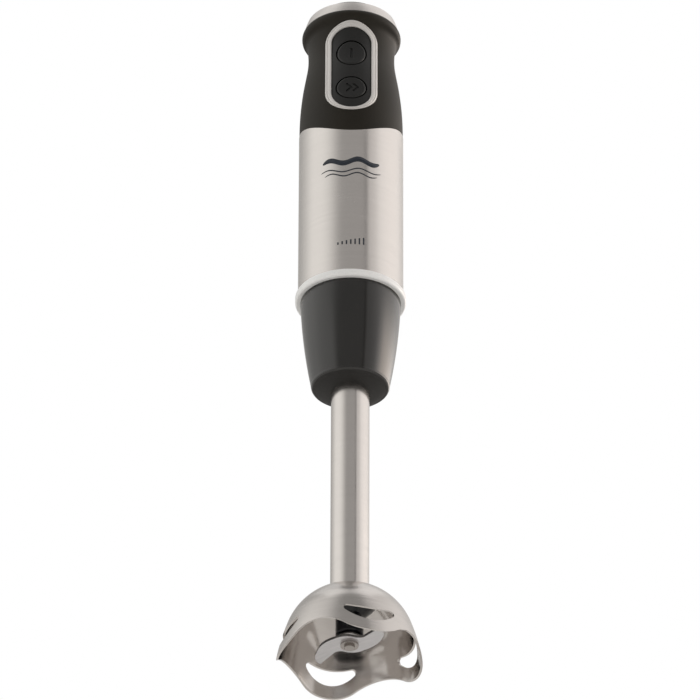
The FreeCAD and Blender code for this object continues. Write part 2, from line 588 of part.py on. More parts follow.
def make_bezel():
    outer = prism("bezel_outer", bezel_outline("0", "0", "0"), "0", "2 * sleeve_radius")
    inner = prism("bezel_inner", bezel_outline("bezel_band", "bezel_band", "bezel_foot"), "-1",
                  "2 * sleeve_radius")
    band = shell_solid("bezel_band", "(-bezel_proud)", "(grip_wall + grip_shell)")
    rim = combine("bezel_rim", "Cut", outer, inner)
    keep(combine("button_bezel", "Common", band, rim), "button_bezel")


def button_list():
    return {"on": f"({SHOULDER} + on_height)", "turbo": f"({SHOULDER} + turbo_height)"}


def make_panel():
    """Dark panel inside the bezel, with a hole for each button."""
    inner = prism("panel_blank", bezel_outline("bezel_band", "bezel_band", "bezel_foot"), "1",
                  "2 * sleeve_radius")
    for name, height in button_list().items():
        hole = ellipse("0", height, f"({name}_half_width + button_gap)", f"({name}_half_height + button_gap)")
        feature(inner, "Pocket", sketch_in(inner, "XZ_Plane", hole), Length="2 * sleeve_radius",
                Reversed=True)
    sheet_shell = shell_solid("panel_shell", "panel_depth", "(panel_depth + panel_wall)")
    keep(combine("button_panel", "Common", sheet_shell, inner), "button_panel")


def make_button(name, height):
    """A button whose face follows the handle, with a flange behind the panel and a stem."""
    wide, tall = f"{name}_half_width", f"{name}_half_height"
    blank = prism(f"{name}_blank", ellipse("0", height, wide, tall), "button_back - 0.1", "2 * sleeve_radius")
    face = combine(f"{name}_face", "Common", shell_solid(f"{name}_form", "button_depth"), blank)
    flange = prism(f"{name}_flange", ellipse("0", height, f"({wide} + button_flange)",
                   f"({tall} + button_flange)"), "button_back", "button_back + button_plate")
    stem = prism(f"{name}_stem", ellipse("0", height, "stem_radius", "stem_radius"), "stem_end",
                 "button_back + 0.5")
    whole = combine(f"{name}_solid", "Fuse", face, flange)
    keep(combine(f"{name}_button", "Fuse", whole, stem), f"{name}_button")


def make_switch(name, height):
    """Microswitch on the circuit board, with its plunger in a bore that faces the button."""
    front = "(board_face + switch_depth)"
    half, tall = "(switch_length / 2)", "(switch_height / 2)"
    case = prism(f"{name}_case", rectangle(f"-{half}", f"{height} - {tall}", half, f"{height} + {tall}"),
                 "board_face", front)
    hole = ellipse("0", height, "(plunger_radius + running_gap)", "(plunger_radius + running_gap)")
    feature(case, "Pocket", sketch_in(case, "XZ_Plane", hole, front), Length="plunger_hole")
    keep(case, f"{name}_switch")
    keep(prism(f"{name}_pin", ellipse("0", height, "plunger_radius", "plunger_radius"), "plunger_root",
               "stem_end - press_gap"), f"{name}_plunger")


# ---------------------------------------------------------------- top of the handle

def make_top():
    """Closing plate with its hub, the satin band round it, the track board and the cord gland."""
    edge = "(sleeve_radius - lip_draw)"
    keep(turned("top_band", [
        (f"{edge} - band_flange", BAND_LOW), (edge, BAND_LOW), (f"{edge} - band_draw", BAND_TOP, "-0.15"),
        (f"{edge} - band_draw - band_wall", BAND_TOP),
        (f"{edge} - band_wall - 0.6", f"{BAND_LOW} + board_plate"),
        (f"{edge} - band_flange", f"{BAND_LOW} + board_plate")]), "top_band")
    keep(turned("top_cap", [
        ("gland_seat_radius", f"{BAND_LOW} - 2 * cap_plate"),
        ("hub_radius + 0.6", f"{BAND_LOW} - 2 * cap_plate"),
        ("hub_radius + 0.6", f"{BAND_LOW} - cap_plate"), ("cap_radius", f"{BAND_LOW} - cap_plate"),
        ("cap_radius", BAND_LOW), ("hub_radius", BAND_LOW), ("hub_radius", f"{BAND_LOW} + hub_rise"),
        ("gland_seat_radius", f"{BAND_LOW} + hub_rise")]), "top_cap")
    keep(ring("track_board", "hub_radius + 1", f"{edge} - band_flange - 0.3", BAND_LOW,
              f"{BAND_LOW} + board_plate"), "track_board")
    seat, top = f"({BAND_LOW} + hub_rise)", f"({DIAL_LOW} + dial_height + 0.4)"
    keep(turned("cord_gland", [
        ("gland_bore", f"{BAND_LOW} - gland_tail"), ("gland_seat_radius", f"{BAND_LOW} - gland_tail"),
        ("gland_seat_radius", seat), ("gland_flange_radius", seat), ("gland_flange_radius", top),
        ("gland_tip_radius + 0.8", f"{top} + 0.8", "-0.3"), ("gland_tip_radius", f"{top} + gland_height"),
        ("gland_bore", f"{top} + gland_height")]), "cord_gland")


def make_dial():
    """Domed speed dial that turns on the hub, and the contact that it carries round the track."""
    top = f"({DIAL_LOW} + dial_height)"
    bore = "(hub_radius + running_gap)"
    dial = "(sleeve_radius - lip_draw - band_draw - dial_inset)"
    roof = f"({DIAL_LOW} + dial_height / 2)"
    body = turned("speed_dial", [
        (bore, f"{BAND_LOW} + board_plate + 1.5"), ("hub_radius + 2.5", f"{BAND_LOW} + board_plate + 1.5"),
        ("hub_radius + 2.5", roof), (f"{dial} - dial_wall - 0.9", f"{DIAL_LOW} + 1"),
        (f"{dial} - dial_wall", DIAL_LOW), (dial, DIAL_LOW),
        (f"{dial} - 0.2", f"{DIAL_LOW} + dial_rim"), ("dial_flat_radius", f"{top} - 0.2", "-dial_dome"),
        (bore, top)])
    keep(body, "speed_dial")
    half = "wiper_half_width"
    low = f"({BAND_LOW} + board_plate + body_gap)"
    keep(box("dial_wiper", ("wiper_radius - 3", "wiper_radius + 1"), (f"-{half}", half),
             (low, f"{DIAL_LOW} + dial_rim")), "dial_wiper")


# ---------------------------------------------------------------- motor unit, inside

def make_socket():
    """Socket for the spigot, with a channel for each lug as long as the lug and its twist."""
    inner, outer = "(spigot_radius + body_gap)", f"({HOUSING_INNER} - 0.1)"
    top = f"({SOCKET_LOW} + socket_height)"
    flange = "(sleeve_radius - sleeve_wall - 2 * housing_gap)"
    body = turned("foot_socket", [
        (inner, SOCKET_LOW), (flange, SOCKET_LOW), (flange, f"{SOCKET_LOW} + socket_flange"),
        (outer, f"{SOCKET_LOW} + socket_flange"), (outer, top), ("socket_bore", top),
        ("socket_bore", SOCKET_ROOF), (inner, SOCKET_ROOF)])
    half = "(lug_half_angle + twist_angle / 2 + slot_clearance)"
    slot = sector(f"({inner} - 0.5)", "(spigot_radius + lug_reach + body_gap)", half, "twist_angle / 2")
    depth = f"{SPIGOT_TOP} - lug_drop + lug_height + body_gap - {SOCKET_LOW}"
    cut = feature(body, "Pocket", sketch_in(body, "XY_Plane", slot, SOCKET_LOW), Length=depth, Reversed=True)
    around(body, [cut], "lug_count")
    keep(body, "foot_socket")


def drill(body, low, length, circle, radius, count):
    """A circle of round holes upward from a height."""
    hole = sketch_in(body, "XY_Plane", ellipse(circle, "0", radius, radius), low)
    return around(body, [feature(body, "Pocket", hole, Length=length, Reversed=True)], count)


def make_bracket(level, low, boss_up):
    """End bracket of the motor, with its bearing and the rubber ring that holds it."""
    top = f"({low} + bracket_plate)"
    tip = f"({top} + bearing_height)" if boss_up else f"({low} - bearing_height)"
    near, far = (top, low) if boss_up else (low, top)
    body = turned(f"{level}_bracket", [
        ("bearing_outer", far), ("bracket_radius", far), ("bracket_radius", near), ("bearing_seat", near),
        ("bearing_seat", tip), ("bearing_outer", tip)])
    drill(body, low, "bracket_plate", "vent_circle", "vent_radius", 6)
    drill(body, low, "bracket_plate", "bolt_circle", "bolt_hole_radius", 2)
    keep(body, f"{level}_bracket")
    start = near if boss_up else tip
    keep(ring(f"{level}_bearing", "motor_shaft_radius + running_gap", "bearing_outer", start,
              f"{start} + bearing_height"), f"{level}_bearing")
    foot = f"{low} - mount_drop"
    keep(ring(f"{level}_mount", "bracket_radius", HOUSING_INNER, foot, f"{foot} + mount_height"),
         f"{level}_mount")


def make_stator():
    """Laminated field ring with two poles, and a coil round each pole."""
    top = f"({STACK} + stack_height)"
    bore = "(armature_radius + air_gap)"
    body = ring("stator_ring", "stator_inner", "stator_radius", STACK, top)
    drill(body, STACK, "stack_height", "bolt_circle", "bolt_hole_radius", 2)
    poles = box("stator_poles", ("-pole_half_width", "pole_half_width"),
                ("-stator_inner - 1", "stator_inner + 1"), (STACK, top))
    whole = combine("stator_blank", "Fuse", body, poles)
    hole = cylinder("stator_bore", bore, "stack_height + 2", z=f"{STACK} - 1")
    keep(combine("stator_core", "Cut", whole, hole), "stator_core")
    parts = []
    low, high = f"({STACK} - coil_thickness)", f"({top} + coil_thickness)"
    for side, sign in (("front", "-"), ("rear", "")):
        near, far = f"({bore} + 0.8)", "(stator_inner - 0.3)"
        span = (f"-{far}", f"-{near}") if sign else (near, far)
        block = box(f"{side}_coil_block", ("-coil_half_width", "coil_half_width"), span, (low, high))
        pole = box(f"{side}_coil_window", ("-pole_half_width - 0.1", "pole_half_width + 0.1"),
                   (f"{span[0]} - 1", f"{span[1]} + 1"), (f"{STACK} - 0.1", f"{top} + 0.1"))
        round_off = cylinder(f"{side}_coil_limit", far, "stack_height + 20", z=f"{STACK} - 10")
        coil = combine(f"{side}_coil_open", "Cut", block, pole)
        parts.append(combine(f"{side}_coil", "Common", coil, round_off))
    group = doc.addObject("Part::Compound", "field_coils")
    group.Links = parts
    keep(group, "field_coils")


def make_rotor():
    """Motor shaft with the slotted core, its end windings, the commutator and the fan."""
    shaft = "motor_shaft_radius"
    end = f"{UPPER_BRACKET} + bracket_plate + bearing_height + 0.5"
    keep(ring("motor_shaft", "0", shaft, MOTOR_HUB_LOW, end), "motor_shaft")
    core = ring("armature_core", shaft, "armature_radius", STACK, f"{STACK} + stack_height")
    slot = rectangle("armature_radius - slot_depth", "-slot_width / 2", "armature_radius + 1",
                     "slot_width / 2")
    cut = feature(core, "Pocket", sketch_in(core, "XY_Plane", slot, STACK), Length="stack_height",
                  Reversed=True)
    around(core, [cut], "armature_slots")
    keep(core, "armature_core")
    parts = []
    for name, low, high in (("low", f"{STACK} - winding_height", STACK),
                            ("top", f"{STACK} + stack_height", f"{STACK} + stack_height + winding_top")):
        parts.append(turned(f"{name}_winding", [
            (f"{shaft} + 1", low), ("armature_radius - 2.5", low),
            ("armature_radius - 0.8", f"({low} + {high}) / 2", "-0.5"),
            ("armature_radius - 1.2", high, "-0.1"), (f"{shaft} + 1", high)]))
    group = doc.addObject("Part::Compound", "armature_winding")
    group.Links = parts
    keep(group, "armature_winding")
    bars = ring("commutator", shaft, "commutator_radius", COMMUTATOR, f"{COMMUTATOR} + commutator_height")
    gap = rectangle("commutator_radius - 0.7", "-0.25", "commutator_radius + 1", "0.25")
    groove = feature(bars, "Pocket", sketch_in(bars, "XY_Plane", gap, f"{COMMUTATOR} + 1.2"),
                     Length="commutator_height", Reversed=True)
    around(bars, [groove], "commutator_bars")
    keep(bars, "commutator")
    low = f"({RING_LOW} + fan_low)"
    fan = turned("fan", [
        (shaft, low), ("fan_radius", low), ("fan_radius", f"{low} + fan_plate"),
        (f"{shaft} + 2.5", f"{low} + fan_plate"), (f"{shaft} + 2.5", f"{low} + fan_height"),
        (shaft, f"{low} + fan_height")])
    vane = rectangle(f"{shaft} + 2", "-fan_blade / 2", "fan_radius - 0.2", "fan_blade / 2")
    pad = feature(fan, "Pad", sketch_in(fan, "XY_Plane", vane, f"{low} + fan_plate / 2"),
                  Length="fan_height - fan_plate")
    around(fan, [pad], "fan_vanes")
    keep(fan, "fan")


def make_brushes():
    """Two carbon brushes in box holders, each pressed on the commutator by a coil spring."""
    brushes, holders, springs = [], [], []
    middle = f"({COMMUTATOR} + commutator_height / 2)"
    roof = UPPER_BRACKET
    for side, turn in (("right", 0), ("left", 180)):
        half, tall = "(brush_width / 2)", "(brush_height / 2)"
        brush = box(f"{side}_brush", ("commutator_radius + running_gap", "brush_end"), (f"-{half}", half),
                    (f"{middle} - {tall}", f"{middle} + {tall}"))
        case = box(f"{side}_case", ("holder_start", "holder_end"),
                   (f"-{half} - holder_wall", f"{half} + holder_wall"),
                   (f"{middle} - {tall} - holder_wall", roof))
        room = box(f"{side}_room", ("holder_start - 1", "holder_end - 1"),
                   (f"-{half} - 0.1", f"{half} + 0.1"),
                   (f"{middle} - {tall} - 0.1", f"{middle} + {tall} + 0.1"))
        holder = combine(f"{side}_holder", "Cut", case, room)
        start, end = value("brush_end"), value("holder_end - 1")
        wire, radius = value("spring_wire"), value("spring_radius")
        helix = Part.makeHelix((end - start - 2 * wire) / 3, end - start - 2 * wire, radius)
        profile = Part.Wire([Part.makeCircle(wire / 2, Vector(radius, 0, 0), Vector(0, 1, 0))])
        coil = Part.Wire(helix).makePipeShell([profile], True, True)
        spring = doc.addObject("Part::Feature", f"{side}_spring")
        spring.Shape = coil
        spring.Placement = Placement(Vector(start + wire, 0, value(middle)), Rotation(Vector(0, 1, 0), 90))
        for piece, group in ((brush, brushes), (holder, holders), (spring, springs)):
            if turn:
                flipped = doc.addObject("Part::Mirroring", piece.Name + "_mirrored")
                flipped.Source = piece
                flipped.Normal = Vector(1, 0, 0)
                piece = flipped
            group.append(piece)
    for name, group in (("carbon_brushes", brushes), ("brush_holders", holders), ("brush_springs", springs)):
        compound = doc.addObject("Part::Compound", name)
        compound.Links = group
        keep(compound, name)


def make_motor_bolts():
    """Two long bolts that clamp the brackets to the field ring, with nuts below."""
    parts = []
    low, top = BRACKET, f"({UPPER_BRACKET} + bracket_plate)"
    for side, sign in (("right", ""), ("left", "-")):
        shank = cylinder(f"{side}_shank", "bolt_radius", f"{top} - {low} + bolt_head", x=f"{sign}bolt_circle",
                         z=f"{low} - bolt_head")
        head = cylinder(f"{side}_head", "bolt_head_radius", "bolt_head", x=f"{sign}bolt_circle", z=top)
        nut = cylinder(f"{side}_nut", "bolt_head_radius", "bolt_head", x=f"{sign}bolt_circle",
                       z=f"{low} - bolt_head")
        bolt = combine(f"{side}_bolt_top", "Fuse", shank, head)
        parts.append(combine(f"{side}_bolt", "Fuse", bolt, nut))
    group = doc.addObject("Part::Compound", "motor_bolts")
    group.Links = parts
    keep(group, "motor_bolts")


def make_electronics():
    """Circuit board behind the buttons, with a capacitor, a power switch and its heat sink."""
    back = "(board_thickness - board_face)"
    low, high = f"({SHOULDER} + board_low)", f"({SHOULDER} + board_high)"
    keep(box("circuit_board", ("-board_half_width", "board_half_width"), ("-board_face", back), (low, high)),
         "circuit_board")
    keep(box("capacitor", ("-capacitor_left", "capacitor_right"), (back, f"{back} + capacitor_depth"),
             (f"{low} + capacitor_low", f"{low} + capacitor_high")), "capacitor")
    keep(box("power_switch", ("-power_half_width", "power_half_width"), (back, f"{back} + power_depth"),
             (f"{low} + power_low", f"{low} + power_high")), "power_switch")
    near, root, far = f"{back} + power_depth", f"{back} + sink_root", f"{back} + sink_depth"
    side, fin, half = "sink_half_width", "(sink_half_width - fin_thickness)", "(fin_thickness / 2)"
    plate = prism("heat_sink", [
        (f"-{side}", near), (side, near), (side, far), (fin, far), (fin, root), (half, root),
        (half, far), (f"-{half}", far), (f"-{half}", root), (f"-{fin}", root), (f"-{fin}", far),
        (f"-{side}", far)], f"{low} + sink_low", f"{low} + sink_high", "XY_Plane")
    keep(plate, "heat_sink")


make_guard()
make_foot_tube()
make_bearing_housing()
make_collar()
make_foot_core()
make_face_seal()
make_drive_shaft()
make_blade()
make_coupling("foot_coupling", FOOT_HUB_LOW, True, "foot_dog_half_angle", "shaft_radius", "90")
make_coupling("motor_coupling", MOTOR_HUB_LOW, False, "motor_dog_half_angle", "motor_shaft_radius", "0")
make_trim_ring()
make_sleeve()
make_grip()
make_housing_half("front_housing", True)
make_housing_half("rear_housing", False)
make_housing_screws()
make_bezel()
make_panel()
for button, middle in button_list().items():
    make_button(button, middle)
    make_switch(button, middle)
make_top()
make_dial()
make_socket()
make_bracket("lower", BRACKET, False)
make_bracket("upper", UPPER_BRACKET, True)
make_stator()
make_rotor()
make_brushes()
make_motor_bolts()
make_electronics()

doc.recompute()
failed = [item.Label for item in doc.Objects if set(item.State) & {"Invalid", "Error"}]
failed += [piece.Label for piece in pieces if piece.Shape.isNull() or not piece.Shape.isValid()]
if failed:
    raise RuntimeError("these did not build: " + ", ".join(failed))

os.makedirs("parts", exist_ok=True)
for piece in pieces:
    piece.Shape.exportStep(f"parts/{piece.Label}.step")
    print(f"{piece.Label}: {len(piece.Shape.Solids)} solid(s), {piece.Shape.Volume:.1f} mm3")
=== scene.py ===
"""Immersion blender: its finishes, its fine outer pieces and its studio, laid out as an add-on."""
from math import cos, pi, radians, sin

import bpy
import numpy as np
from bpy.props import FloatProperty, FloatVectorProperty, IntProperty
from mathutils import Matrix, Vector


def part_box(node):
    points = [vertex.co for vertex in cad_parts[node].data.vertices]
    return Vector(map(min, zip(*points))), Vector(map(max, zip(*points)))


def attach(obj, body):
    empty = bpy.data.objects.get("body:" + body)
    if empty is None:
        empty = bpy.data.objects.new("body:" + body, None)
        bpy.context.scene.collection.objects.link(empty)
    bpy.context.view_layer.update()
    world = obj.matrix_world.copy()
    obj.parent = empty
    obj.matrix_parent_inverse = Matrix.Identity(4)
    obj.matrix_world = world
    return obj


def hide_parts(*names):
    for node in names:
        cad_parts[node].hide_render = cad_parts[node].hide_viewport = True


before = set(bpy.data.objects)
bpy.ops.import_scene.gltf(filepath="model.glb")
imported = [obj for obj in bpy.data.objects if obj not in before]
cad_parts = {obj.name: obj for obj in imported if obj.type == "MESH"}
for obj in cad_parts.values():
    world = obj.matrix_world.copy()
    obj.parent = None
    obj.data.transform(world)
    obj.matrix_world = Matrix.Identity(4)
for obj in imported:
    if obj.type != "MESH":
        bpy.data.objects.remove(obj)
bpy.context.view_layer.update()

bl_info = {
    "name": "Immersion blender finishes",
    "version": (1, 0, 0),
    "blender": (4, 5, 0),
    "location": "3D View > Sidebar > Blender",
    "description": "Finishes, fine outer pieces and studio for the packed immersion blender",
    "category": "Object",
}

MM = 0.001


# ---------------------------------------------------------------- sizes and colours a user would change

def length(label, size_mm, note):
    """A length setting, given in millimetres and kept in metres."""
    return FloatProperty(name=label, description=note, default=size_mm * MM, unit="LENGTH", precision=5)


def share(label, value, note):
    """A setting from 0 to 1."""
    return FloatProperty(name=label, description=note, default=value, min=0.0, max=1.0, subtype="FACTOR")


def turn(label, degrees, note):
    """An angle setting, given in degrees."""
    return FloatProperty(name=label, description=note, default=radians(degrees), subtype="ANGLE",
                         unit="ROTATION")


def tone(label, colour, note):
    """A colour setting, in linear light."""
    return FloatVectorProperty(name=label, description=note, default=colour, size=3, min=0.0, max=1.0,
                               subtype="COLOR")


class BlenderFinishes(bpy.types.PropertyGroup):
    """Colours and roughness of the outer materials."""
    steel: tone("Steel", (0.7, 0.665, 0.64), "Colour of the brushed steel of sleeve, tube and guard")
    steel_roughness: share("Steel roughness", 0.22, "Roughness of the brushed steel between its lines")
    silver: tone("Silver", (0.67, 0.64, 0.62), "Colour of the satin bezel and of the top band")
    white: tone("Trim white", (0.93, 0.93, 0.925), "Colour of the pale trim ring")
    grip: tone("Grip", (0.0165, 0.0134, 0.0088), "Colour of the soft grip")
    panel: tone("Panel", (0.006, 0.0059, 0.0054), "Colour of the button panel and its buttons")
    gloss: tone("Collar", (0.0075, 0.0065, 0.0055), "Colour of the glossy collar")
    print_ink: tone("Print", (0.012, 0.018, 0.032), "Colour of the printed marks on the sleeve")


class BlenderStudio(bpy.types.PropertyGroup):
    """Where the camera stands, where the floor lies and how strong the light is."""
    distance: length("Distance", 4300, "From the camera to the middle of the blender")
    drop: turn("Camera drop", 32.3, "How far below the level the camera looks up from")
    aim: length("Aim height", 209, "Height on the axis that the camera looks at")
    lens: FloatProperty(name="Lens", description="Focal length of the long lens", default=404.7,
                        unit="CAMERA", precision=4)
    lift: FloatProperty(name="Lift", description="Vertical shift that frames the blender",
                        default=-0.0247, precision=4)
    side: FloatProperty(name="Side", description="Sideways shift that frames the blender",
                        default=-0.0007, precision=4)
    roll: turn("Roll", 0.19, "Turn of the camera about its line of sight")
    floor: length("Floor drop", 46, "How far the floor lies below the guard's lowest points")
    floor_reach: length("Floor reach", 1500, "Half the width of the floor")
    surround: FloatProperty(name="Surround", description="Strength of the pale surround", default=1.0)
    gap: share("Front gap", 0.4, "Strength of the darker gap in the surround, in front of the buttons")
    step: share("Right step", 0.7, "Strength of the surround just right of the gap")
    rear: share("Rear shade", 0.65, "Strength of the surround behind the blender")
    below: share("Lower shade", 0.6, "Strength of the surround below the floor")
    upper: share("Upper shade", 0.7, "Strength of the surround high above")
    soft: FloatProperty(name="Soft lights", description="Radiance of the large soft lights", default=0.4)
    fill: FloatProperty(name="Front fill", description="Radiance of the low light in front", default=3.2)
    strip: FloatProperty(name="Strip", description="Strength that the low strip on the right adds",
                         default=2.6)


# ---------------------------------------------------------------- shader nodes

def feed(tree, socket, value):
    """Links value to the socket if it is another node's output, and sets the socket to it otherwise."""
    if isinstance(value, bpy.types.NodeSocket):
        tree.links.new(value, socket)
    else:
        socket.default_value = value


def put(tree, kind, settings=None, **inputs):
    """A new node of that kind with its settings, its inputs fed by name ("_" stands for a space)."""
    node = tree.nodes.new(kind)
    for key, value in (settings or {}).items():
        setattr(node, key, value)
    for key, value in inputs.items():
        feed(tree, node.inputs[key.replace("_", " ")], value)
    return node


def maths(tree, operation, first, second=0.0, third=0.0):
    """One Math node on up to three numbers or sockets; gives its result."""
    node = tree.nodes.new("ShaderNodeMath")
    node.operation = operation
    for socket, value in zip(node.inputs, (first, second, third)):
        feed(tree, socket, value)
    return node.outputs[0]


def product(tree, *factors):
    """The factors, numbers or sockets, multiplied together."""
    result = factors[0]
    for factor in factors[1:]:
        result = maths(tree, "MULTIPLY", result, factor)
    return result


def ramp(tree, value, low, high, to_low=0.0, to_high=1.0):
    """Value carried smoothly from the range low..high to the range to_low..to_high."""
    node = put(tree, "ShaderNodeMapRange", {"interpolation_type": "SMOOTHSTEP"}, Value=value,
               From_Min=low, From_Max=high, To_Min=to_low, To_Max=to_high)
    return node.outputs["Result"]


def noise(tree, vector, scale, detail=2.0, rough=0.5):
    """A noise value about 0.5 at that scale."""
    return put(tree, "ShaderNodeTexNoise", None, Vector=vector, Scale=scale, Detail=detail,
               Roughness=rough).outputs["Fac"]


def place(tree):
    """Object coordinates, in metres, as three numbers and as one vector."""
    vector = tree.nodes.new("ShaderNodeTexCoord").outputs["Object"]
    parts = put(tree, "ShaderNodeSeparateXYZ", None, Vector=vector).outputs
    return vector, parts["X"], parts["Y"], parts["Z"]


def mixed(tree, factor, first, second):
    """First colour carried to the second by factor."""
    node = put(tree, "ShaderNodeMix", {"data_type": "RGBA"})
    feed(tree, node.inputs["Factor"], factor)
    feed(tree, node.inputs[6], first)
    feed(tree, node.inputs[7], second)
    return node.outputs[2]


def new_group(name, inputs, outputs):
    """An empty shader group with named float inputs (name: default) and float outputs."""
    tree = bpy.data.node_groups.new(name, "ShaderNodeTree")
    for label, value in inputs.items():
        socket = tree.interface.new_socket(label, in_out="INPUT", socket_type="NodeSocketFloat")
        socket.default_value = value
    for label in outputs:
        tree.interface.new_socket(label, in_out="OUTPUT", socket_type="NodeSocketFloat")
    start = tree.nodes.new("NodeGroupInput").outputs
    end = tree.nodes.new("NodeGroupOutput").inputs
    return tree, start, end


def brushed_lines_group():
    """Fine brushing round the axis: noise stretched round it and squeezed along height + slope * radius."""
    tree, start, end = new_group("brushed_lines", {"Lines": 5200.0, "Run": 22.0, "Slope": 0.0},
                                 ("Line", "Band"))
    _, x, y, z = place(tree)
    radius = maths(tree, "SQRT", maths(tree, "ADD", product(tree, x, x), product(tree, y, y)))
    climb = maths(tree, "MULTIPLY_ADD", radius, start["Slope"], z)
    for label, lines in (("Line", start["Lines"]), ("Band", product(tree, start["Lines"], 0.12))):
        vector = put(tree, "ShaderNodeCombineXYZ", None, X=product(tree, x, start["Run"]),
                     Y=product(tree, y, start["Run"]), Z=product(tree, climb, lines)).outputs[0]
        feed(tree, end[label], noise(tree, vector, 1.0, 3.0, 0.65))
    return tree


def ground_lines_group():
    """Straight grinding lines: noise squeezed along one level direction, which Turn gives."""
    tree, start, end = new_group("ground_lines", {"Lines": 4200.0, "Run": 60.0, "Turn": 0.0}, ("Line",))
    _, x, y, z = place(tree)
    c, s = maths(tree, "COSINE", start["Turn"]), maths(tree, "SINE", start["Turn"])
    across = maths(tree, "MULTIPLY_ADD", x, c, product(tree, y, s))
    along = maths(tree, "SUBTRACT", product(tree, y, c), product(tree, x, s))
    vector = put(tree, "ShaderNodeCombineXYZ", None, X=product(tree, across, start["Lines"]),
                 Y=product(tree, along, start["Run"]),
                 Z=product(tree, z, start["Run"])).outputs[0]
    feed(tree, end["Line"], noise(tree, vector, 1.0, 3.0, 0.6))
    return tree


def moulded_grain_group():
    """Spark-eroded mould grain: fine cells broken up by noise, with a slow shade over them."""
    tree, start, end = new_group("moulded_grain", {"Grains": 3000.0, "Mottle": 55.0}, ("Height", "Shade"))
    vector = place(tree)[0]
    cells = put(tree, "ShaderNodeTexVoronoi", None, Vector=vector, Scale=start["Grains"]).outputs["Distance"]
    broken = noise(tree, vector, product(tree, start["Grains"], 0.6), 3.0)
    feed(tree, end["Height"], maths(tree, "MULTIPLY_ADD", cells, 0.6, broken))
    feed(tree, end["Shade"], noise(tree, vector, start["Mottle"], 4.0, 0.6))
    return tree


def handling_marks_group():
    """Faint smears from hands: patches of slow noise that hold finer, curled noise."""
    tree, start, end = new_group("handling_marks", {"Patches": 38.0, "Amount": 0.5}, ("Smear",))
    vector = place(tree)[0]
    patch = ramp(tree, noise(tree, vector, start["Patches"], 2.0), 0.48, 0.66)
    fine = noise(tree, vector, product(tree, start["Patches"], 9.0), 4.0, 0.7)
    feed(tree, end["Smear"], product(tree, patch, fine, start["Amount"]))
    return tree


def settled_dust_group():
    """Dust on faces that look up: the normal's rise, broken up by noise."""
    tree, start, end = new_group("settled_dust", {"Amount": 0.3, "Specks": 900.0}, ("Dust",))
    vector = place(tree)[0]
    normal = tree.nodes.new("ShaderNodeNewGeometry").outputs["Normal"]
    rise = put(tree, "ShaderNodeSeparateXYZ", None, Vector=normal).outputs["Z"]
    speck = ramp(tree, noise(tree, vector, start["Specks"], 4.0, 0.7), 0.42, 0.68)
    feed(tree, end["Dust"], product(tree, ramp(tree, rise, 0.55, 0.98), speck, start["Amount"]))
    return tree


def edge_wear_group():
    """Rubbed edges: the piece's own edge attribute, broken up by noise."""
    tree, start, end = new_group("edge_wear", {"Amount": 0.5, "Breaks": 420.0}, ("Worn",))
    vector = place(tree)[0]
    edge = put(tree, "ShaderNodeAttribute", {"attribute_name": "edge"}).outputs["Fac"]
    rubbed = maths(tree, "ADD", edge, maths(tree, "SUBTRACT", noise(tree, vector, start["Breaks"], 5.0), 0.5))
    feed(tree, end["Worn"], product(tree, ramp(tree, rubbed, 0.45, 0.95), start["Amount"]))
    return tree


def facing_group():
    """Which way a face looks: Under is 1 where it looks down, and Inside is 1 where it looks at the axis."""
    tree, start, end = new_group("facing", {"Sharp": 6.0}, ("Under", "Inside"))
    _, x, y, _ = place(tree)
    normal = tree.nodes.new("ShaderNodeNewGeometry").outputs["Normal"]
    parts = put(tree, "ShaderNodeSeparateXYZ", None, Vector=normal).outputs
    outward = maths(tree, "ADD", product(tree, x, parts["X"]), product(tree, y, parts["Y"]))
    feed(tree, end["Under"], ramp(tree, parts["Z"], -0.85, -0.6, 1.0, 0.0))
    feed(tree, end["Inside"], ramp(tree, product(tree, outward, 100.0, start["Sharp"]), -1.0, 1.0, 1.0, 0.0))
    return tree


GROUPS = {}
FINISHES = {}


def use(tree, name, **inputs):
    """Places a shared group in a material; gives its outputs."""
    node = tree.nodes.new("ShaderNodeGroup")
    node.node_tree = GROUPS[name]
    for key, value in inputs.items():
        feed(tree, node.inputs[key], value)
    return node.outputs


def new_finish(name, roughness=0.5, metallic=0.0, coat=0.0, coat_roughness=0.05, specular=0.5):
    """A material with one Principled shader whose steady numbers are set on its own sockets; gives its
    node tree and the shader."""
    material = FINISHES[name] = bpy.data.materials.new(name)
    material.use_nodes = True
    tree = material.node_tree
    tree.nodes.clear()
    shader = put(tree, "ShaderNodeBsdfPrincipled", None, Roughness=roughness, Metallic=metallic,
                 Coat_Weight=coat, Coat_Roughness=coat_roughness, Specular_IOR_Level=specular)
    output = tree.nodes.new("ShaderNodeOutputMaterial")
    tree.links.new(shader.outputs["BSDF"], output.inputs["Surface"])
    return tree, shader


def raise_surface(tree, shader, height, depth):
    """Bumps the shader's normal by height times depth, in metres."""
    bump = put(tree, "ShaderNodeBump", None, Strength=1.0, Distance=depth, Height=height)
    tree.links.new(bump.outputs["Normal"], shader.inputs["Normal"])


def solid(colour):
    """A colour setting as four numbers."""
    return (*colour, 1.0)


def tinted(colour, factor):
    """That colour made lighter or darker by factor, as four numbers."""
    return (*(min(1.0, part * factor) for part in colour), 1.0)


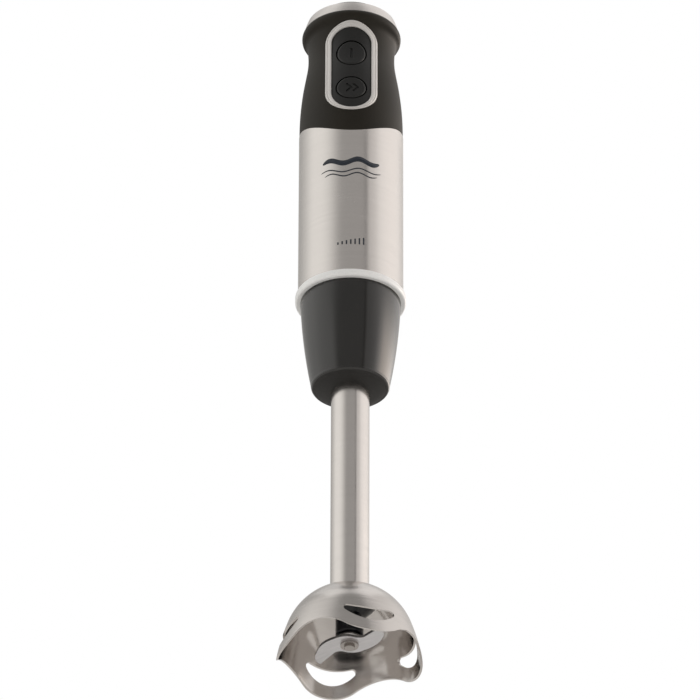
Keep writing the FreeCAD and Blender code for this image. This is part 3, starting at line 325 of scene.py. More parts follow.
def brushed_finish(name, colour, roughness, lines=5200.0, run=22.0, slope=0.0, contrast=0.035, depth=1e-6,
                   smears=0.25, dust=0.12, inside=None):
    """Steel or aluminium brushed round the axis, with bands, smears and a little dust; inside is the
    roughness of its inner wall."""
    tree, shader = new_finish(name, metallic=1.0)
    brushed = use(tree, "brushed_lines", Lines=lines, Run=run, Slope=slope)
    smear = use(tree, "handling_marks", Amount=smears)["Smear"]
    dusty = use(tree, "settled_dust", Amount=dust)["Dust"]
    streak = maths(tree, "MULTIPLY_ADD", brushed["Band"], 0.35, product(tree, brushed["Line"], 0.65))
    shade = mixed(tree, ramp(tree, streak, 0.3, 0.7), tinted(colour, 1 - contrast),
                  tinted(colour, 1 + contrast * 0.6))
    feed(tree, shader.inputs["Base Color"], mixed(tree, dusty, shade, (0.5, 0.49, 0.47, 1.0)))
    rough = maths(tree, "MULTIPLY_ADD", brushed["Line"], 0.08, roughness - 0.04)
    if inside is not None:
        polished = use(tree, "facing")["Inside"]
        rough = maths(tree, "MULTIPLY_ADD", polished, inside - roughness, rough)
    rough = maths(tree, "ADD", rough, product(tree, smear, 0.3))
    feed(tree, shader.inputs["Roughness"], maths(tree, "MULTIPLY_ADD", dusty, 0.5, rough))
    raise_surface(tree, shader, brushed["Line"], depth)


def moulded_finish(name, colour, roughness, grains=3000.0, depth=6e-6, mottle=0.12, smears=0.3, coat=0.0,
                   coat_roughness=0.05, dust=0.25, specular=0.5, painted_groove_shade=0.0, under=None):
    """Moulded plastic or rubber: mould grain, a slow random shift of tone, hand smears and settled dust; one
    argument sets how much painted shade darkens the piece's sign grooves, and under is the roughness of its
    matt underside."""
    tree, shader = new_finish(name, coat=coat, coat_roughness=coat_roughness, specular=specular)
    grain = use(tree, "moulded_grain", Grains=grains)
    smear = use(tree, "handling_marks", Amount=smears)["Smear"]
    dusty = use(tree, "settled_dust", Amount=dust)["Dust"]
    shade = mixed(tree, ramp(tree, grain["Shade"], 0.3, 0.7), tinted(colour, 1 - mottle),
                  tinted(colour, 1 + mottle))
    # Painted shade: where the sign-groove mask is set, the colour is darkened towards near black.
    if painted_groove_shade:
        sign = put(tree, "ShaderNodeAttribute", {"attribute_name": "painted_groove_shade"}).outputs["Fac"]
        shade = mixed(tree, product(tree, sign, painted_groove_shade), shade, (0.002, 0.002, 0.002, 1.0))
    feed(tree, shader.inputs["Base Color"], mixed(tree, dusty, shade, (0.22, 0.21, 0.19, 1.0)))
    rough = maths(tree, "MULTIPLY_ADD", grain["Shade"], 0.08, roughness - 0.04)
    rough = maths(tree, "ADD", rough, product(tree, smear, -0.12))
    if under is not None:
        matt = use(tree, "facing")["Under"]
        rough = maths(tree, "MULTIPLY_ADD", matt, under - roughness, rough)
        feed(tree, shader.inputs["Coat Weight"], maths(tree, "MULTIPLY_ADD", matt, -coat, coat))
    feed(tree, shader.inputs["Roughness"], maths(tree, "MULTIPLY_ADD", dusty, 0.4, rough))
    raise_surface(tree, shader, grain["Height"], depth)


def satin_finish(name, colour, roughness, metallic=1.0, wear=0.0):
    """Satin plated plastic or pearl paint: fine flakes in it, brighter where its edges are rubbed."""
    tree, shader = new_finish(name, metallic=metallic, coat=0.25, coat_roughness=0.22)
    grain = use(tree, "moulded_grain", Grains=2600.0, Mottle=30.0)
    worn = use(tree, "edge_wear", Amount=wear)["Worn"]
    smear = use(tree, "handling_marks", Amount=0.3)["Smear"]
    shade = mixed(tree, ramp(tree, grain["Height"], 0.4, 1.0), tinted(colour, 0.93), tinted(colour, 1.04))
    feed(tree, shader.inputs["Base Color"], mixed(tree, worn, shade, tinted(colour, 1.15)))
    rough = maths(tree, "MULTIPLY_ADD", grain["Shade"], 0.08, roughness - 0.04)
    rough = maths(tree, "ADD", rough, product(tree, smear, 0.2))
    feed(tree, shader.inputs["Roughness"], maths(tree, "MULTIPLY_ADD", worn, -0.12, rough))
    raise_surface(tree, shader, grain["Height"], 2e-6)


def ground_finish(name, colour, roughness, lines=4200.0, angle=0.0, contrast=0.12, depth=3e-6):
    """Steel ground in straight lines, such as the blade."""
    tree, shader = new_finish(name, metallic=1.0)
    line = use(tree, "ground_lines", Lines=lines, Turn=angle)["Line"]
    smear = use(tree, "handling_marks", Patches=60.0, Amount=0.3)["Smear"]
    shade = mixed(tree, ramp(tree, line, 0.3, 0.7), tinted(colour, 1 - contrast),
                  tinted(colour, 1 + contrast))
    feed(tree, shader.inputs["Base Color"], shade)
    rough = maths(tree, "MULTIPLY_ADD", line, 0.14, roughness - 0.07)
    feed(tree, shader.inputs["Roughness"], maths(tree, "MULTIPLY_ADD", smear, 0.25, rough))
    raise_surface(tree, shader, line, depth)


def striped_finish(name, colour, second, pitch, across, metallic, roughness, duty=0.5):
    """Sheets or wires side by side: two colours in turn along an axis ("Z" or "ring") at that pitch."""
    tree, shader = new_finish(name, metallic=metallic)
    _, x, y, z = place(tree)
    line = z if across == "Z" else maths(tree, "ARCTAN2", y, x)
    wave = maths(tree, "FRACT", maths(tree, "DIVIDE", line, pitch))
    hump = maths(tree, "SINE", product(tree, wave, pi))
    grain = use(tree, "moulded_grain", Grains=1800.0, Mottle=140.0)
    shade = mixed(tree, ramp(tree, hump, 0.1, duty), solid(second), solid(colour))
    feed(tree, shader.inputs["Base Color"], mixed(tree, ramp(tree, grain["Shade"], 0.35, 0.9, 0.0, 0.25),
                                                  shade, tinted(colour, 0.6)))
    feed(tree, shader.inputs["Roughness"], maths(tree, "MULTIPLY_ADD", grain["Shade"], 0.2, roughness - 0.1))
    raise_surface(tree, shader, hump, pitch * 0.2 if across == "Z" else 8e-5)


def board_finish():
    """Green circuit board: solder mask over a net of tracks, with tinned pads."""
    tree, shader = new_finish("green_board", roughness=0.35, coat=0.4)
    vector, x, y, z = place(tree)
    grid = put(tree, "ShaderNodeTexBrick", None, Vector=put(tree, "ShaderNodeCombineXYZ", None, X=x, Y=z,
               Z=y).outputs[0], Scale=180.0, Mortar_Size=0.06, Color1=(0.0, 0.0, 0.0, 1.0),
               Color2=(0.25, 0.25, 0.25, 1.0), Mortar=(1.0, 1.0, 1.0, 1.0)).outputs["Color"]
    pads = put(tree, "ShaderNodeTexVoronoi", None, Vector=vector, Scale=260.0).outputs["Distance"]
    tracks = mixed(tree, grid, (0.012, 0.09, 0.03, 1.0), (0.03, 0.17, 0.06, 1.0))
    feed(tree, shader.inputs["Base Color"], mixed(tree, ramp(tree, pads, 0.1, 0.16, 1.0, 0.0), tracks,
                                                  (0.6, 0.58, 0.52, 1.0)))
    raise_surface(tree, shader, pads, 5e-5)


def make_finishes(settings):
    """Makes every finish of the blender and keeps it by name in FINISHES."""
    steel, rough = settings.steel, settings.steel_roughness
    brushed_finish("brushed_sleeve", steel, rough)
    brushed_finish("brushed_tube", steel, rough - 0.03, lines=4600.0, run=60.0)
    brushed_finish("brushed_guard", tinted(steel, 0.88)[:3], rough + 0.03, lines=3400.0, run=18.0,
                   slope=-0.55, contrast=0.06, smears=0.08, dust=0.05, inside=0.13)
    brushed_finish("turned_steel", (0.62, 0.61, 0.6), 0.24, lines=6000.0, slope=1.0, contrast=0.1, smears=0.1)
    brushed_finish("worn_steel", (0.4, 0.37, 0.35), 0.26, lines=3200.0, slope=1.0, contrast=0.12, smears=0.2)
    brushed_finish("polished_steel", (0.78, 0.77, 0.76), 0.12, lines=2600.0, slope=1.0, contrast=0.05,
                   depth=4e-7, smears=0.12)
    ground_finish("ground_blade", (0.6, 0.59, 0.6), 0.3, angle=radians(51))
    satin_finish("satin_silver", settings.silver, 0.34, wear=0.5)
    satin_finish("trim_white", settings.white, 0.3, metallic=0.0, wear=0.3)
    moulded_finish("gloss_black", settings.gloss, 0.24, grains=900.0, depth=1e-6, coat=0.5,
                   coat_roughness=0.1, smears=0.4, dust=0.12, under=0.62)
    moulded_finish("soft_touch", settings.grip, 0.5, grains=3600.0, depth=9e-6, specular=0.22)
    moulded_finish("panel_black", settings.panel, 0.42, grains=2600.0)
    # The buttons' sign grooves are darkened with painted shade.
    moulded_finish("button_black", settings.panel, 0.4, grains=2600.0, depth=5e-6, painted_groove_shade=0.8)
    moulded_finish("gland_rubber", (0.016, 0.016, 0.016), 0.6, grains=1800.0, depth=1e-5)
    moulded_finish("print_white", (0.62, 0.62, 0.61), 0.45, grains=4000.0, depth=1e-6)
    moulded_finish("nose_black", (0.007, 0.008, 0.011), 0.3, grains=2000.0, depth=3e-6)
    moulded_finish("dark_plastic", (0.03, 0.03, 0.032), 0.55, grains=1500.0, depth=1.2e-5)
    moulded_finish("grey_plastic", (0.21, 0.22, 0.23), 0.5, grains=1500.0, depth=1.2e-5)
    brushed_finish("bronze_bush", (0.42, 0.27, 0.12), 0.42, lines=3000.0, contrast=0.25)
    moulded_finish("seal_rubber", (0.05, 0.015, 0.01), 0.62, grains=1200.0, depth=1.5e-5)
    moulded_finish("mount_rubber", (0.02, 0.02, 0.02), 0.7, grains=1200.0, depth=2e-5)
    striped_finish("stacked_sheets", (0.33, 0.33, 0.34), (0.05, 0.05, 0.055), 0.0005, "Z", 0.8, 0.45, 0.6)
    striped_finish("wound_copper", (0.62, 0.22, 0.07), (0.12, 0.03, 0.01), 0.0006, "Z", 0.7, 0.35, 0.8)
    striped_finish("copper_bars", (0.72, 0.34, 0.15), (0.02, 0.02, 0.02), 2 * pi / 24, "ring", 0.9, 0.28,
                   0.25)
    moulded_finish("carbon", (0.018, 0.018, 0.02), 0.6, grains=4000.0, depth=8e-6)
    brushed_finish("brass", (0.72, 0.5, 0.2), 0.32, lines=2500.0, contrast=0.15)
    brushed_finish("cast_aluminium", (0.55, 0.56, 0.57), 0.46, lines=900.0, run=300.0, contrast=0.18,
                   depth=8e-6)
    board_finish()
    moulded_finish("yellow_film", (0.5, 0.29, 0.03), 0.32, grains=700.0, depth=3e-6, coat=0.5)
    moulded_finish("print_ink", settings.print_ink, 0.5, grains=5000.0, depth=1e-6, dust=0.0)


NODE_FINISHES = {
    "brushed_sleeve": ["steel_sleeve"],
    "brushed_tube": ["foot_tube"],
    "brushed_guard": ["blade_guard"],
    "turned_steel": ["drive_shaft", "motor_shaft", "retaining_clip", "lower_bearing", "upper_bearing",
                     "housing_screws", "motor_bolts", "brush_springs"],
    "polished_steel": ["spacer_ring"],
    "worn_steel": ["blade_nut"],
    "ground_blade": ["blade"],
    "satin_silver": ["button_bezel", "top_band"],
    "trim_white": ["trim_ring"],
    "gloss_black": ["collar"],
    "soft_touch": ["soft_grip"],
    "panel_black": ["button_panel", "on_button", "turbo_button", "speed_dial"],
    "nose_black": ["bearing_housing"],
    "dark_plastic": ["cord_gland", "front_housing", "rear_housing", "top_cap", "brush_holders", "on_switch",
                     "turbo_switch", "power_switch", "foot_core"],
    "grey_plastic": ["foot_socket", "foot_coupling", "motor_coupling", "fan", "on_plunger", "turbo_plunger"],
    "bronze_bush": ["lower_bush", "upper_bush"],
    "seal_rubber": ["face_seal", "shaft_seal"],
    "mount_rubber": ["lower_mount", "upper_mount"],
    "stacked_sheets": ["stator_core", "armature_core"],
    "wound_copper": ["field_coils", "armature_winding"],
    "copper_bars": ["commutator"],
    "carbon": ["carbon_brushes"],
    "brass": ["dial_wiper"],
    "cast_aluminium": ["lower_bracket", "upper_bracket", "heat_sink"],
    "green_board": ["circuit_board", "track_board"],
    "yellow_film": ["capacitor"],
}


# ---------------------------------------------------------------- surfaces worked out as whole arrays

def lattice(rows, columns, round_rows=False, round_columns=False):
    """Four-sided faces between neighbouring points of a lattice, closed round where asked."""
    i, j = np.meshgrid(np.arange(rows - (not round_rows)), np.arange(columns - (not round_columns)),
                       indexing="ij")
    i2, j2 = (i + 1) % rows, (j + 1) % columns
    corners = (i * columns + j, i2 * columns + j, i2 * columns + j2, i * columns + j2)
    return np.stack(corners, axis=-1).reshape(-1, 4)


def rounded(corners, radii, steps=7):
    """A closed outline with an arc in each corner. The arc's centre lies radius / sin(half the corner's
    angle) along the bisector, and the arc runs between the points where it touches the two sides."""
    here, radii = np.asarray(corners, float), np.asarray(radii, float)[:, None]
    back, ahead = np.roll(here, 1, axis=0) - here, np.roll(here, -1, axis=0) - here
    back /= np.linalg.norm(back, axis=1, keepdims=True)
    ahead /= np.linalg.norm(ahead, axis=1, keepdims=True)
    half = 0.5 * np.arccos(np.clip((back * ahead).sum(axis=1, keepdims=True), -1, 1))
    bisector = (back + ahead) / np.linalg.norm(back + ahead, axis=1, keepdims=True)
    centre = here + bisector * radii / np.sin(half)
    start, end = here + back * radii / np.tan(half) - centre, here + ahead * radii / np.tan(half) - centre
    sweep = (pi - 2 * half)[:, :, None]
    along = np.linspace(0, 1, steps)[None, :, None]
    arc = start[:, None] * np.sin((1 - along) * sweep) + end[:, None] * np.sin(along * sweep)
    arc = arc / np.sin(sweep)
    return (centre[:, None] + arc).reshape(-1, 2)


def turned(outline, count=192, swell=None):
    """A closed outline of (radius, height) carried once round Z: x = r cos a, y = r sin a. Swell, a
    function of the angle, the radius and the height, is added to the radius."""
    angle = np.linspace(0, 2 * pi, count, endpoint=False)[:, None]
    radius, height = np.asarray(outline).T[:, None, :]
    if swell is not None:
        radius = radius + swell(angle, radius, height)
    points = np.stack(np.broadcast_arrays(radius * np.cos(angle), radius * np.sin(angle), height), axis=-1)
    return points.reshape(-1, 3), lattice(count, len(outline), True, True)


def joined(parts):
    """Several (points, faces) surfaces as one."""
    starts = np.cumsum([0] + [len(points) for points, _ in parts])
    return (np.concatenate([points for points, _ in parts]),
            np.concatenate([faces + start for (_, faces), start in zip(parts, starts)]))


def welded(points, faces):
    """Points that lie together become one. A face keeps three or four different corners, or goes, and
    all faces turn over if the volume they enclose, the sum of a . (b x c) / 6, is negative."""
    index, match = np.unique(np.round(points, 8), axis=0, return_index=True, return_inverse=True)[1:]
    points, faces = points[index], match.ravel()[faces]
    differs = faces != np.roll(faces, 1, axis=1)
    faces, differs = faces[differs.sum(axis=1) > 2], differs[differs.sum(axis=1) > 2]
    a, b, c, d = points[faces].transpose(1, 0, 2)
    volume = (np.cross(a, b) * c).sum() + (np.cross(a, c) * d).sum()
    rows = [face[keep].tolist() for face, keep in zip(faces, differs)]
    return points, [row[::-1] for row in rows] if volume < 0 else rows, index


def add_piece(name, parts, finish, body, stands_for=(), marks=None):
    """One smooth object at the origin from closed (points, faces) parts. It rides on body and stands for
    the named nodes; marks are point attributes by name. The piece takes the material of the finish's
    name."""
    starts = np.cumsum([0] + [len(points) for points, _ in parts])
    solids = [welded(*part) for part in parts]
    firsts = np.cumsum([0] + [len(points) for points, _, _ in solids])
    mesh = bpy.data.meshes.new(name)
    mesh.from_pydata(np.concatenate([points for points, _, _ in solids]).tolist(), [],
                     [[corner + int(first) for corner in face]
                      for (_, faces, _), first in zip(solids, firsts) for face in faces])
    mesh.shade_smooth()
    kept = np.concatenate([index + start for (_, _, index), start in zip(solids, starts)])
    for label, values in (marks or {}).items():
        attribute = mesh.attributes.new(label, "FLOAT", "POINT")
        attribute.data.foreach_set("value", values[kept].astype(np.float32))
    mesh.materials.append(bpy.data.materials[finish])
    piece = bpy.data.objects.new(name, mesh)
    bpy.context.scene.collection.objects.link(piece)
    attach(piece, body)
    if stands_for:
        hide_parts(*stands_for)
    return piece


def handle_side():
    """Heights and outer radii of the grip's side, from those of its vertices whose normal points out."""
    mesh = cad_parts["soft_grip"].data
    points, normals = np.empty(len(mesh.vertices) * 3), np.empty(len(mesh.vertices) * 3, np.float32)
    mesh.vertices.foreach_get("co", points)
    mesh.vertices.foreach_get("normal", normals)
    points, normals = points.reshape(-1, 3), normals.reshape(-1, 3)
    radius = np.hypot(points[:, 0], points[:, 1])
    outward = (points[:, 0] * normals[:, 0] + points[:, 1] * normals[:, 1]) / radius
    outer = (outward > 0.5) & (points[:, 1] > 0)
    height, index = np.unique(np.round(points[outer, 2], 5), return_index=True)
    return height, radius[outer][index]


def on_handle(x, z, out=0.0):
    """Points on the handle's front at (x, z), raised by out: y = -sqrt((R(z) + out)^2 - x^2)."""
    radius = np.interp(z, *SIDE) + out
    return np.stack(np.broadcast_arrays(x, -np.sqrt(radius ** 2 - x ** 2), z), axis=-1)


SIDE = handle_side()


# ---------------------------------------------------------------- new pieces

def oval(half_width, low, high, crown, heel, count=64):
    """Tall closed oval: a half ellipse of height crown over the height high, straight sides, and a half
    ellipse of height heel under the height low."""
    bend, side = np.linspace(0, pi, count), np.linspace(0, 1, count // 2)[1:-1]
    angle = np.concatenate((bend, np.full(side.size, pi), bend + pi, np.full(side.size, 2 * pi)))
    base = np.concatenate((np.full(count, high), high + (low - high) * side, np.full(count, low),
                           low + (high - low) * side))
    rise = np.where(angle <= pi, crown, heel) * np.sin(angle)
    return half_width * np.cos(angle), base + rise


class BlenderKeys(bpy.types.PropertyGroup):
    """Sizes of the bezel and of the two buttons' signs."""
    crown: length("Crown", 12.5, "Height of the bezel's arched top")
    heel: length("Heel", 13.3, "Height of the bezel's rounded bottom")
    band: length("Band", 3.4, "Width of the bezel's band at its sides and top")
    foot: length("Foot", 1.8, "Width of the bezel's band at its bottom")
    groove: share("Groove", 0.5, "Depth of the bezel's fine groove as a share of its height")
    proud: length("Proud", 0.75, "How far the bezel stands out of the grip")
    edge: length("Button edge", 1.1, "Width of the rounded edge of a button")
    sign: length("Sign width", 1.25, "Width of the strokes of the buttons' signs")
    cut: length("Sign depth", 0.8, "Depth of the strokes of the buttons' signs")
    dish: length("Dish", 0.35, "How much deeper a button's face lies in its middle than at its edge")
    sink: length("Sink", 0.25, "How far a button's edge lies under the handle's front")
    back: length("Button back", 18.6, "How far the flat backs of the buttons lie from the axis")
    bar: length("Bar", 6.2, "Length of the bar on the upper button")
    chevron: length("Chevron", 2.4, "Reach of each chevron on the lower button")
    chevron_step: length("Chevron step", 3.6, "From the first chevron to the second")


class BLENDER_OT_bezel(bpy.types.Operator):
    """Makes the satin bezel: a rounded band between two ovals that follows the handle's front"""
    bl_idname = "blender_kit.bezel"
    bl_label = "Bezel"

    def execute(self, context):
        keys = context.scene.blender_keys
        low_corner, high_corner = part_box("button_bezel")
        half = high_corner[0]
        low, high = low_corner[2] + keys.heel, high_corner[2] - keys.crown
        outer = np.stack(oval(half, low, high, keys.crown, keys.heel), axis=-1)
        inner = np.stack(oval(half - keys.band, low, high, keys.crown - keys.band, keys.heel - keys.foot),
                         axis=-1)
        across = np.linspace(0, 1, 41)
        flatness, fullness = 3.2, 2.2
        crest = (1 - np.abs(2 * across - 1) ** flatness) ** (1 / fullness)
        groove_place, groove_width = 0.32, 0.055
        crest -= keys.groove * np.exp(-((across - groove_place) / groove_width) ** 2)
        portion = np.concatenate(([0.0], across, [1.0]))
        root, seat = 2.2 * MM, 0.15 * MM
        out = np.concatenate(([-root], keys.proud * crest - seat, [-root]))
        line = outer[:, None] + (inner - outer)[:, None] * portion[None, :, None]
        points = on_handle(line[..., 0], line[..., 1], out[None, :])
        edge = np.broadcast_to(np.concatenate(([0.0], 1 - crest, [0.0])), line.shape[:2])
        add_piece("button_bezel_band", [(points.reshape(-1, 3), lattice(*line.shape[:2], True, True))],
                  "satin_silver", "motor_unit", ("button_bezel",), {"edge": edge.ravel()})
        return {"FINISHED"}


def stroke_distance(x, z, strokes):
    """Distance from points to the nearest of several straight strokes, each ((x, z), (x, z))."""
    nearest = np.full(np.shape(x), np.inf)
    for (x0, z0), (x1, z1) in strokes:
        dx, dz = x1 - x0, z1 - z0
        portion = np.clip(((x - x0) * dx + (z - z0) * dz) / (dx * dx + dz * dz), 0, 1)
        nearest = np.minimum(nearest, np.hypot(x - x0 - portion * dx, z - z0 - portion * dz))
    return nearest


def make_button(keys, node, name, body, half_width, half_height, strokes):
    """A button's cap: the square lattice u, v is bent into an ellipse by x = u sqrt(1 - v^2 / 2) and
    z = v sqrt(1 - u^2 / 2), lies just under the handle's front, rolls down at its edge, and its sign
    is a round-bottomed groove where the distance to the sign's strokes is small."""
    low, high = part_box(node)
    middle, count = (low[2] + high[2]) / 2, 141
    u, v = np.meshgrid(np.linspace(-1, 1, count), np.linspace(-1, 1, count), indexing="ij")
    x, z = u * np.sqrt(1 - v * v / 2) * half_width, v * np.sqrt(1 - u * u / 2) * half_height
    reach = np.sqrt((x / half_width) ** 2 + (z / half_height) ** 2)
    rim_width = keys.edge / half_width
    past = np.clip((reach - 1 + rim_width) / rim_width, 0, 1)
    roll = (1 - np.sqrt(np.clip(1 - past * past, 0, 1))) * keys.edge * 0.9
    near = stroke_distance(x, z, strokes) / (keys.sign / 2)
    groove = np.clip((1.2 - near) / 0.6, 0, 1)
    groove = groove * groove * (3 - 2 * groove)
    dish = keys.dish * (1 - reach ** 2)
    face = on_handle(x, z + middle, -keys.sink - roll - groove * keys.cut - dish)
    rim = np.concatenate((np.arange(count - 1) * count, (count - 1) * count + np.arange(count - 1),
                          np.arange(count - 1, 0, -1) * count + count - 1, np.arange(count - 1, 0, -1)))
    edge = face.reshape(-1, 3)[rim]
    levels = np.linspace(0, 1, 4)[:, None]
    wall = np.repeat(edge[None], 4, axis=0)
    wall[..., 1] = edge[:, 1] - levels * (keys.back + edge[:, 1])
    cap = np.concatenate((wall[-1], wall[-1].mean(axis=0, keepdims=True)))
    total = len(rim)
    centre, corner = np.full(total, total), np.arange(total)
    fan = np.stack((corner, centre, centre, (corner + 1) % total), axis=-1)
    # The groove mask is kept as a point attribute so the finish can darken the sign grooves with painted
    # shade.
    painted_groove_shade = np.concatenate((groove.ravel(), np.zeros(wall.size // 3 + len(cap))))
    shell = joined([(face.reshape(-1, 3), lattice(count, count)),
                    (wall.reshape(-1, 3), lattice(4, total, False, True)), (cap, fan)])
    add_piece(name, [shell], "button_black", body, (node,), {"painted_groove_shade": painted_groove_shade})


class BLENDER_OT_buttons(bpy.types.Operator):
    """Makes the two oval buttons, one marked with a bar and one with two chevrons"""
    bl_idname = "blender_kit.buttons"
    bl_label = "Buttons"

    def execute(self, context):
        keys = context.scene.blender_keys
        bar = [((0.0, -keys.bar / 2), (0.0, keys.bar / 2))]
        chevrons = []
        for shift in (-keys.chevron, keys.chevron_step - keys.chevron):
            tip = (shift + keys.chevron, 0.0)
            chevrons += [((shift, keys.chevron), tip), (tip, (shift, -keys.chevron))]
        make_button(keys, "on_button", "on_button_cap", "on_key", 8.0 * MM, 8.5 * MM, bar)
        make_button(keys, "turbo_button", "turbo_button_cap", "turbo_key", 8.2 * MM, 7.2 * MM, chevrons)
        return {"FINISHED"}


class BLENDER_OT_spacer(bpy.types.Operator):
    """Makes the polished spacer over the blade, with a full round edge"""
    bl_idname = "blender_kit.spacer"
    bl_label = "Spacer"

    def execute(self, context):
        low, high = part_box("spacer_ring")
        reach, bore = high[0], 3.05 * MM
        outline = rounded([(bore, low[2]), (reach, low[2]), (reach, high[2]), (bore, high[2])],
                          np.array([0.2, 1.7, 1.2, 0.2]) * MM, 11)
        add_piece("spacer_ring_round", [turned(outline, 160)], "polished_steel", "blade_shaft",
                  ("spacer_ring",))
        return {"FINISHED"}


class BlenderMarks(bpy.types.PropertyGroup):
    """Sizes of the printed marks on the steel sleeve."""
    rise: length("Waves above ring", 70.8, "Height of the wave lines above the sleeve's lower end")
    span: length("Wave width", 35, "Width of the wave lines round the sleeve")
    bold: length("Bold line", 3.3, "Thickness of the upper wave line")
    fine: length("Fine line", 0.8, "Thickness of the lower wave lines")
    ticks_rise: length("Ticks above ring", 16.6, "Height of the tick bars above the sleeve's lower end")
    ticks_span: length("Tick width", 14.2, "Width of the row of tick bars")
    film: length("Print film", 0.03, "Thickness of the print")


def printed_strip(line, half, radius, film, front=-pi / 2):
    """A printed strip on the sleeve: at each step along the line (distance round, height) it is half
    wide each way, and its closed section of four points stands film proud of the radius."""
    across = np.array([-1.0, -1.0, 1.0, 1.0])
    out = np.array([-film, film, film, -film])
    height = line[:, 1:] + half[:, None] * across
    angle = front + line[:, :1] / radius
    reach = radius + out[None, :]
    points = np.stack(np.broadcast_arrays(reach * np.cos(angle), reach * np.sin(angle), height), axis=-1)
    count = len(line)
    first = np.arange(4)
    ends = np.stack((first, 4 * count - 1 - first))
    return points.reshape(-1, 3), np.concatenate((lattice(count, 4, False, True), ends))


class BLENDER_OT_marks(bpy.types.Operator):
    """Prints the generic marks on the sleeve: three stacked wave lines and a row of rising ticks"""
    bl_idname = "blender_kit.marks"
    bl_label = "Printed marks"

    def execute(self, context):
        marks = context.scene.blender_marks
        low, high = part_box("steel_sleeve")
        radius = high[0]
        step = np.linspace(-1, 1, 161)
        taper = np.sqrt(np.clip(1 - step ** 6, 0, 1)) + 0.02
        parts = []
        for level, thick, span, height in ((0.3 * MM, marks.bold, 0.94, 1.3 * MM),
                                           (-5.6 * MM, marks.fine, 1.0, 1.1 * MM),
                                           (-8.4 * MM, marks.fine, 0.86, 1.1 * MM)):
            wave = height * np.sin(step * 2 * pi)
            line = np.stack((step * span * marks.span / 2, low[2] + marks.rise + level + wave), axis=-1)
            parts.append(printed_strip(line, taper * thick / 2, radius, marks.film))
        count, half_width, shortest, growth = 7, 0.42 * MM, 1.5 * MM, 0.5 * MM
        for number in range(count):
            x = (number / (count - 1) - 0.5) * marks.ticks_span
            tall = shortest + growth * number
            sides = np.array([x - half_width, x + half_width])
            line = np.stack((sides, np.full(2, low[2] + marks.ticks_rise + tall / 2)), axis=-1)
            parts.append(printed_strip(line, np.full(2, tall / 2), radius, marks.film))
        add_piece("sleeve_marks", parts, "print_ink", "motor_unit", ())
        return {"FINISHED"}


class BlenderTop(bpy.types.PropertyGroup):
    """Sizes of the speed dial and of the cord gland."""
    flutes: IntProperty(name="Flutes", description="Number of finger flutes round the dial", default=48)
    flute_depth: length("Flute depth", 0.45, "Depth of the dial's finger flutes")
    pointer: length("Pointer", 1.5, "Width of the dial's raised pointer")
    ribs: IntProperty(name="Ribs", description="Number of ribs round the cord gland", default=4)
    rib: length("Rib height", 0.45, "Height of the gland's ribs")


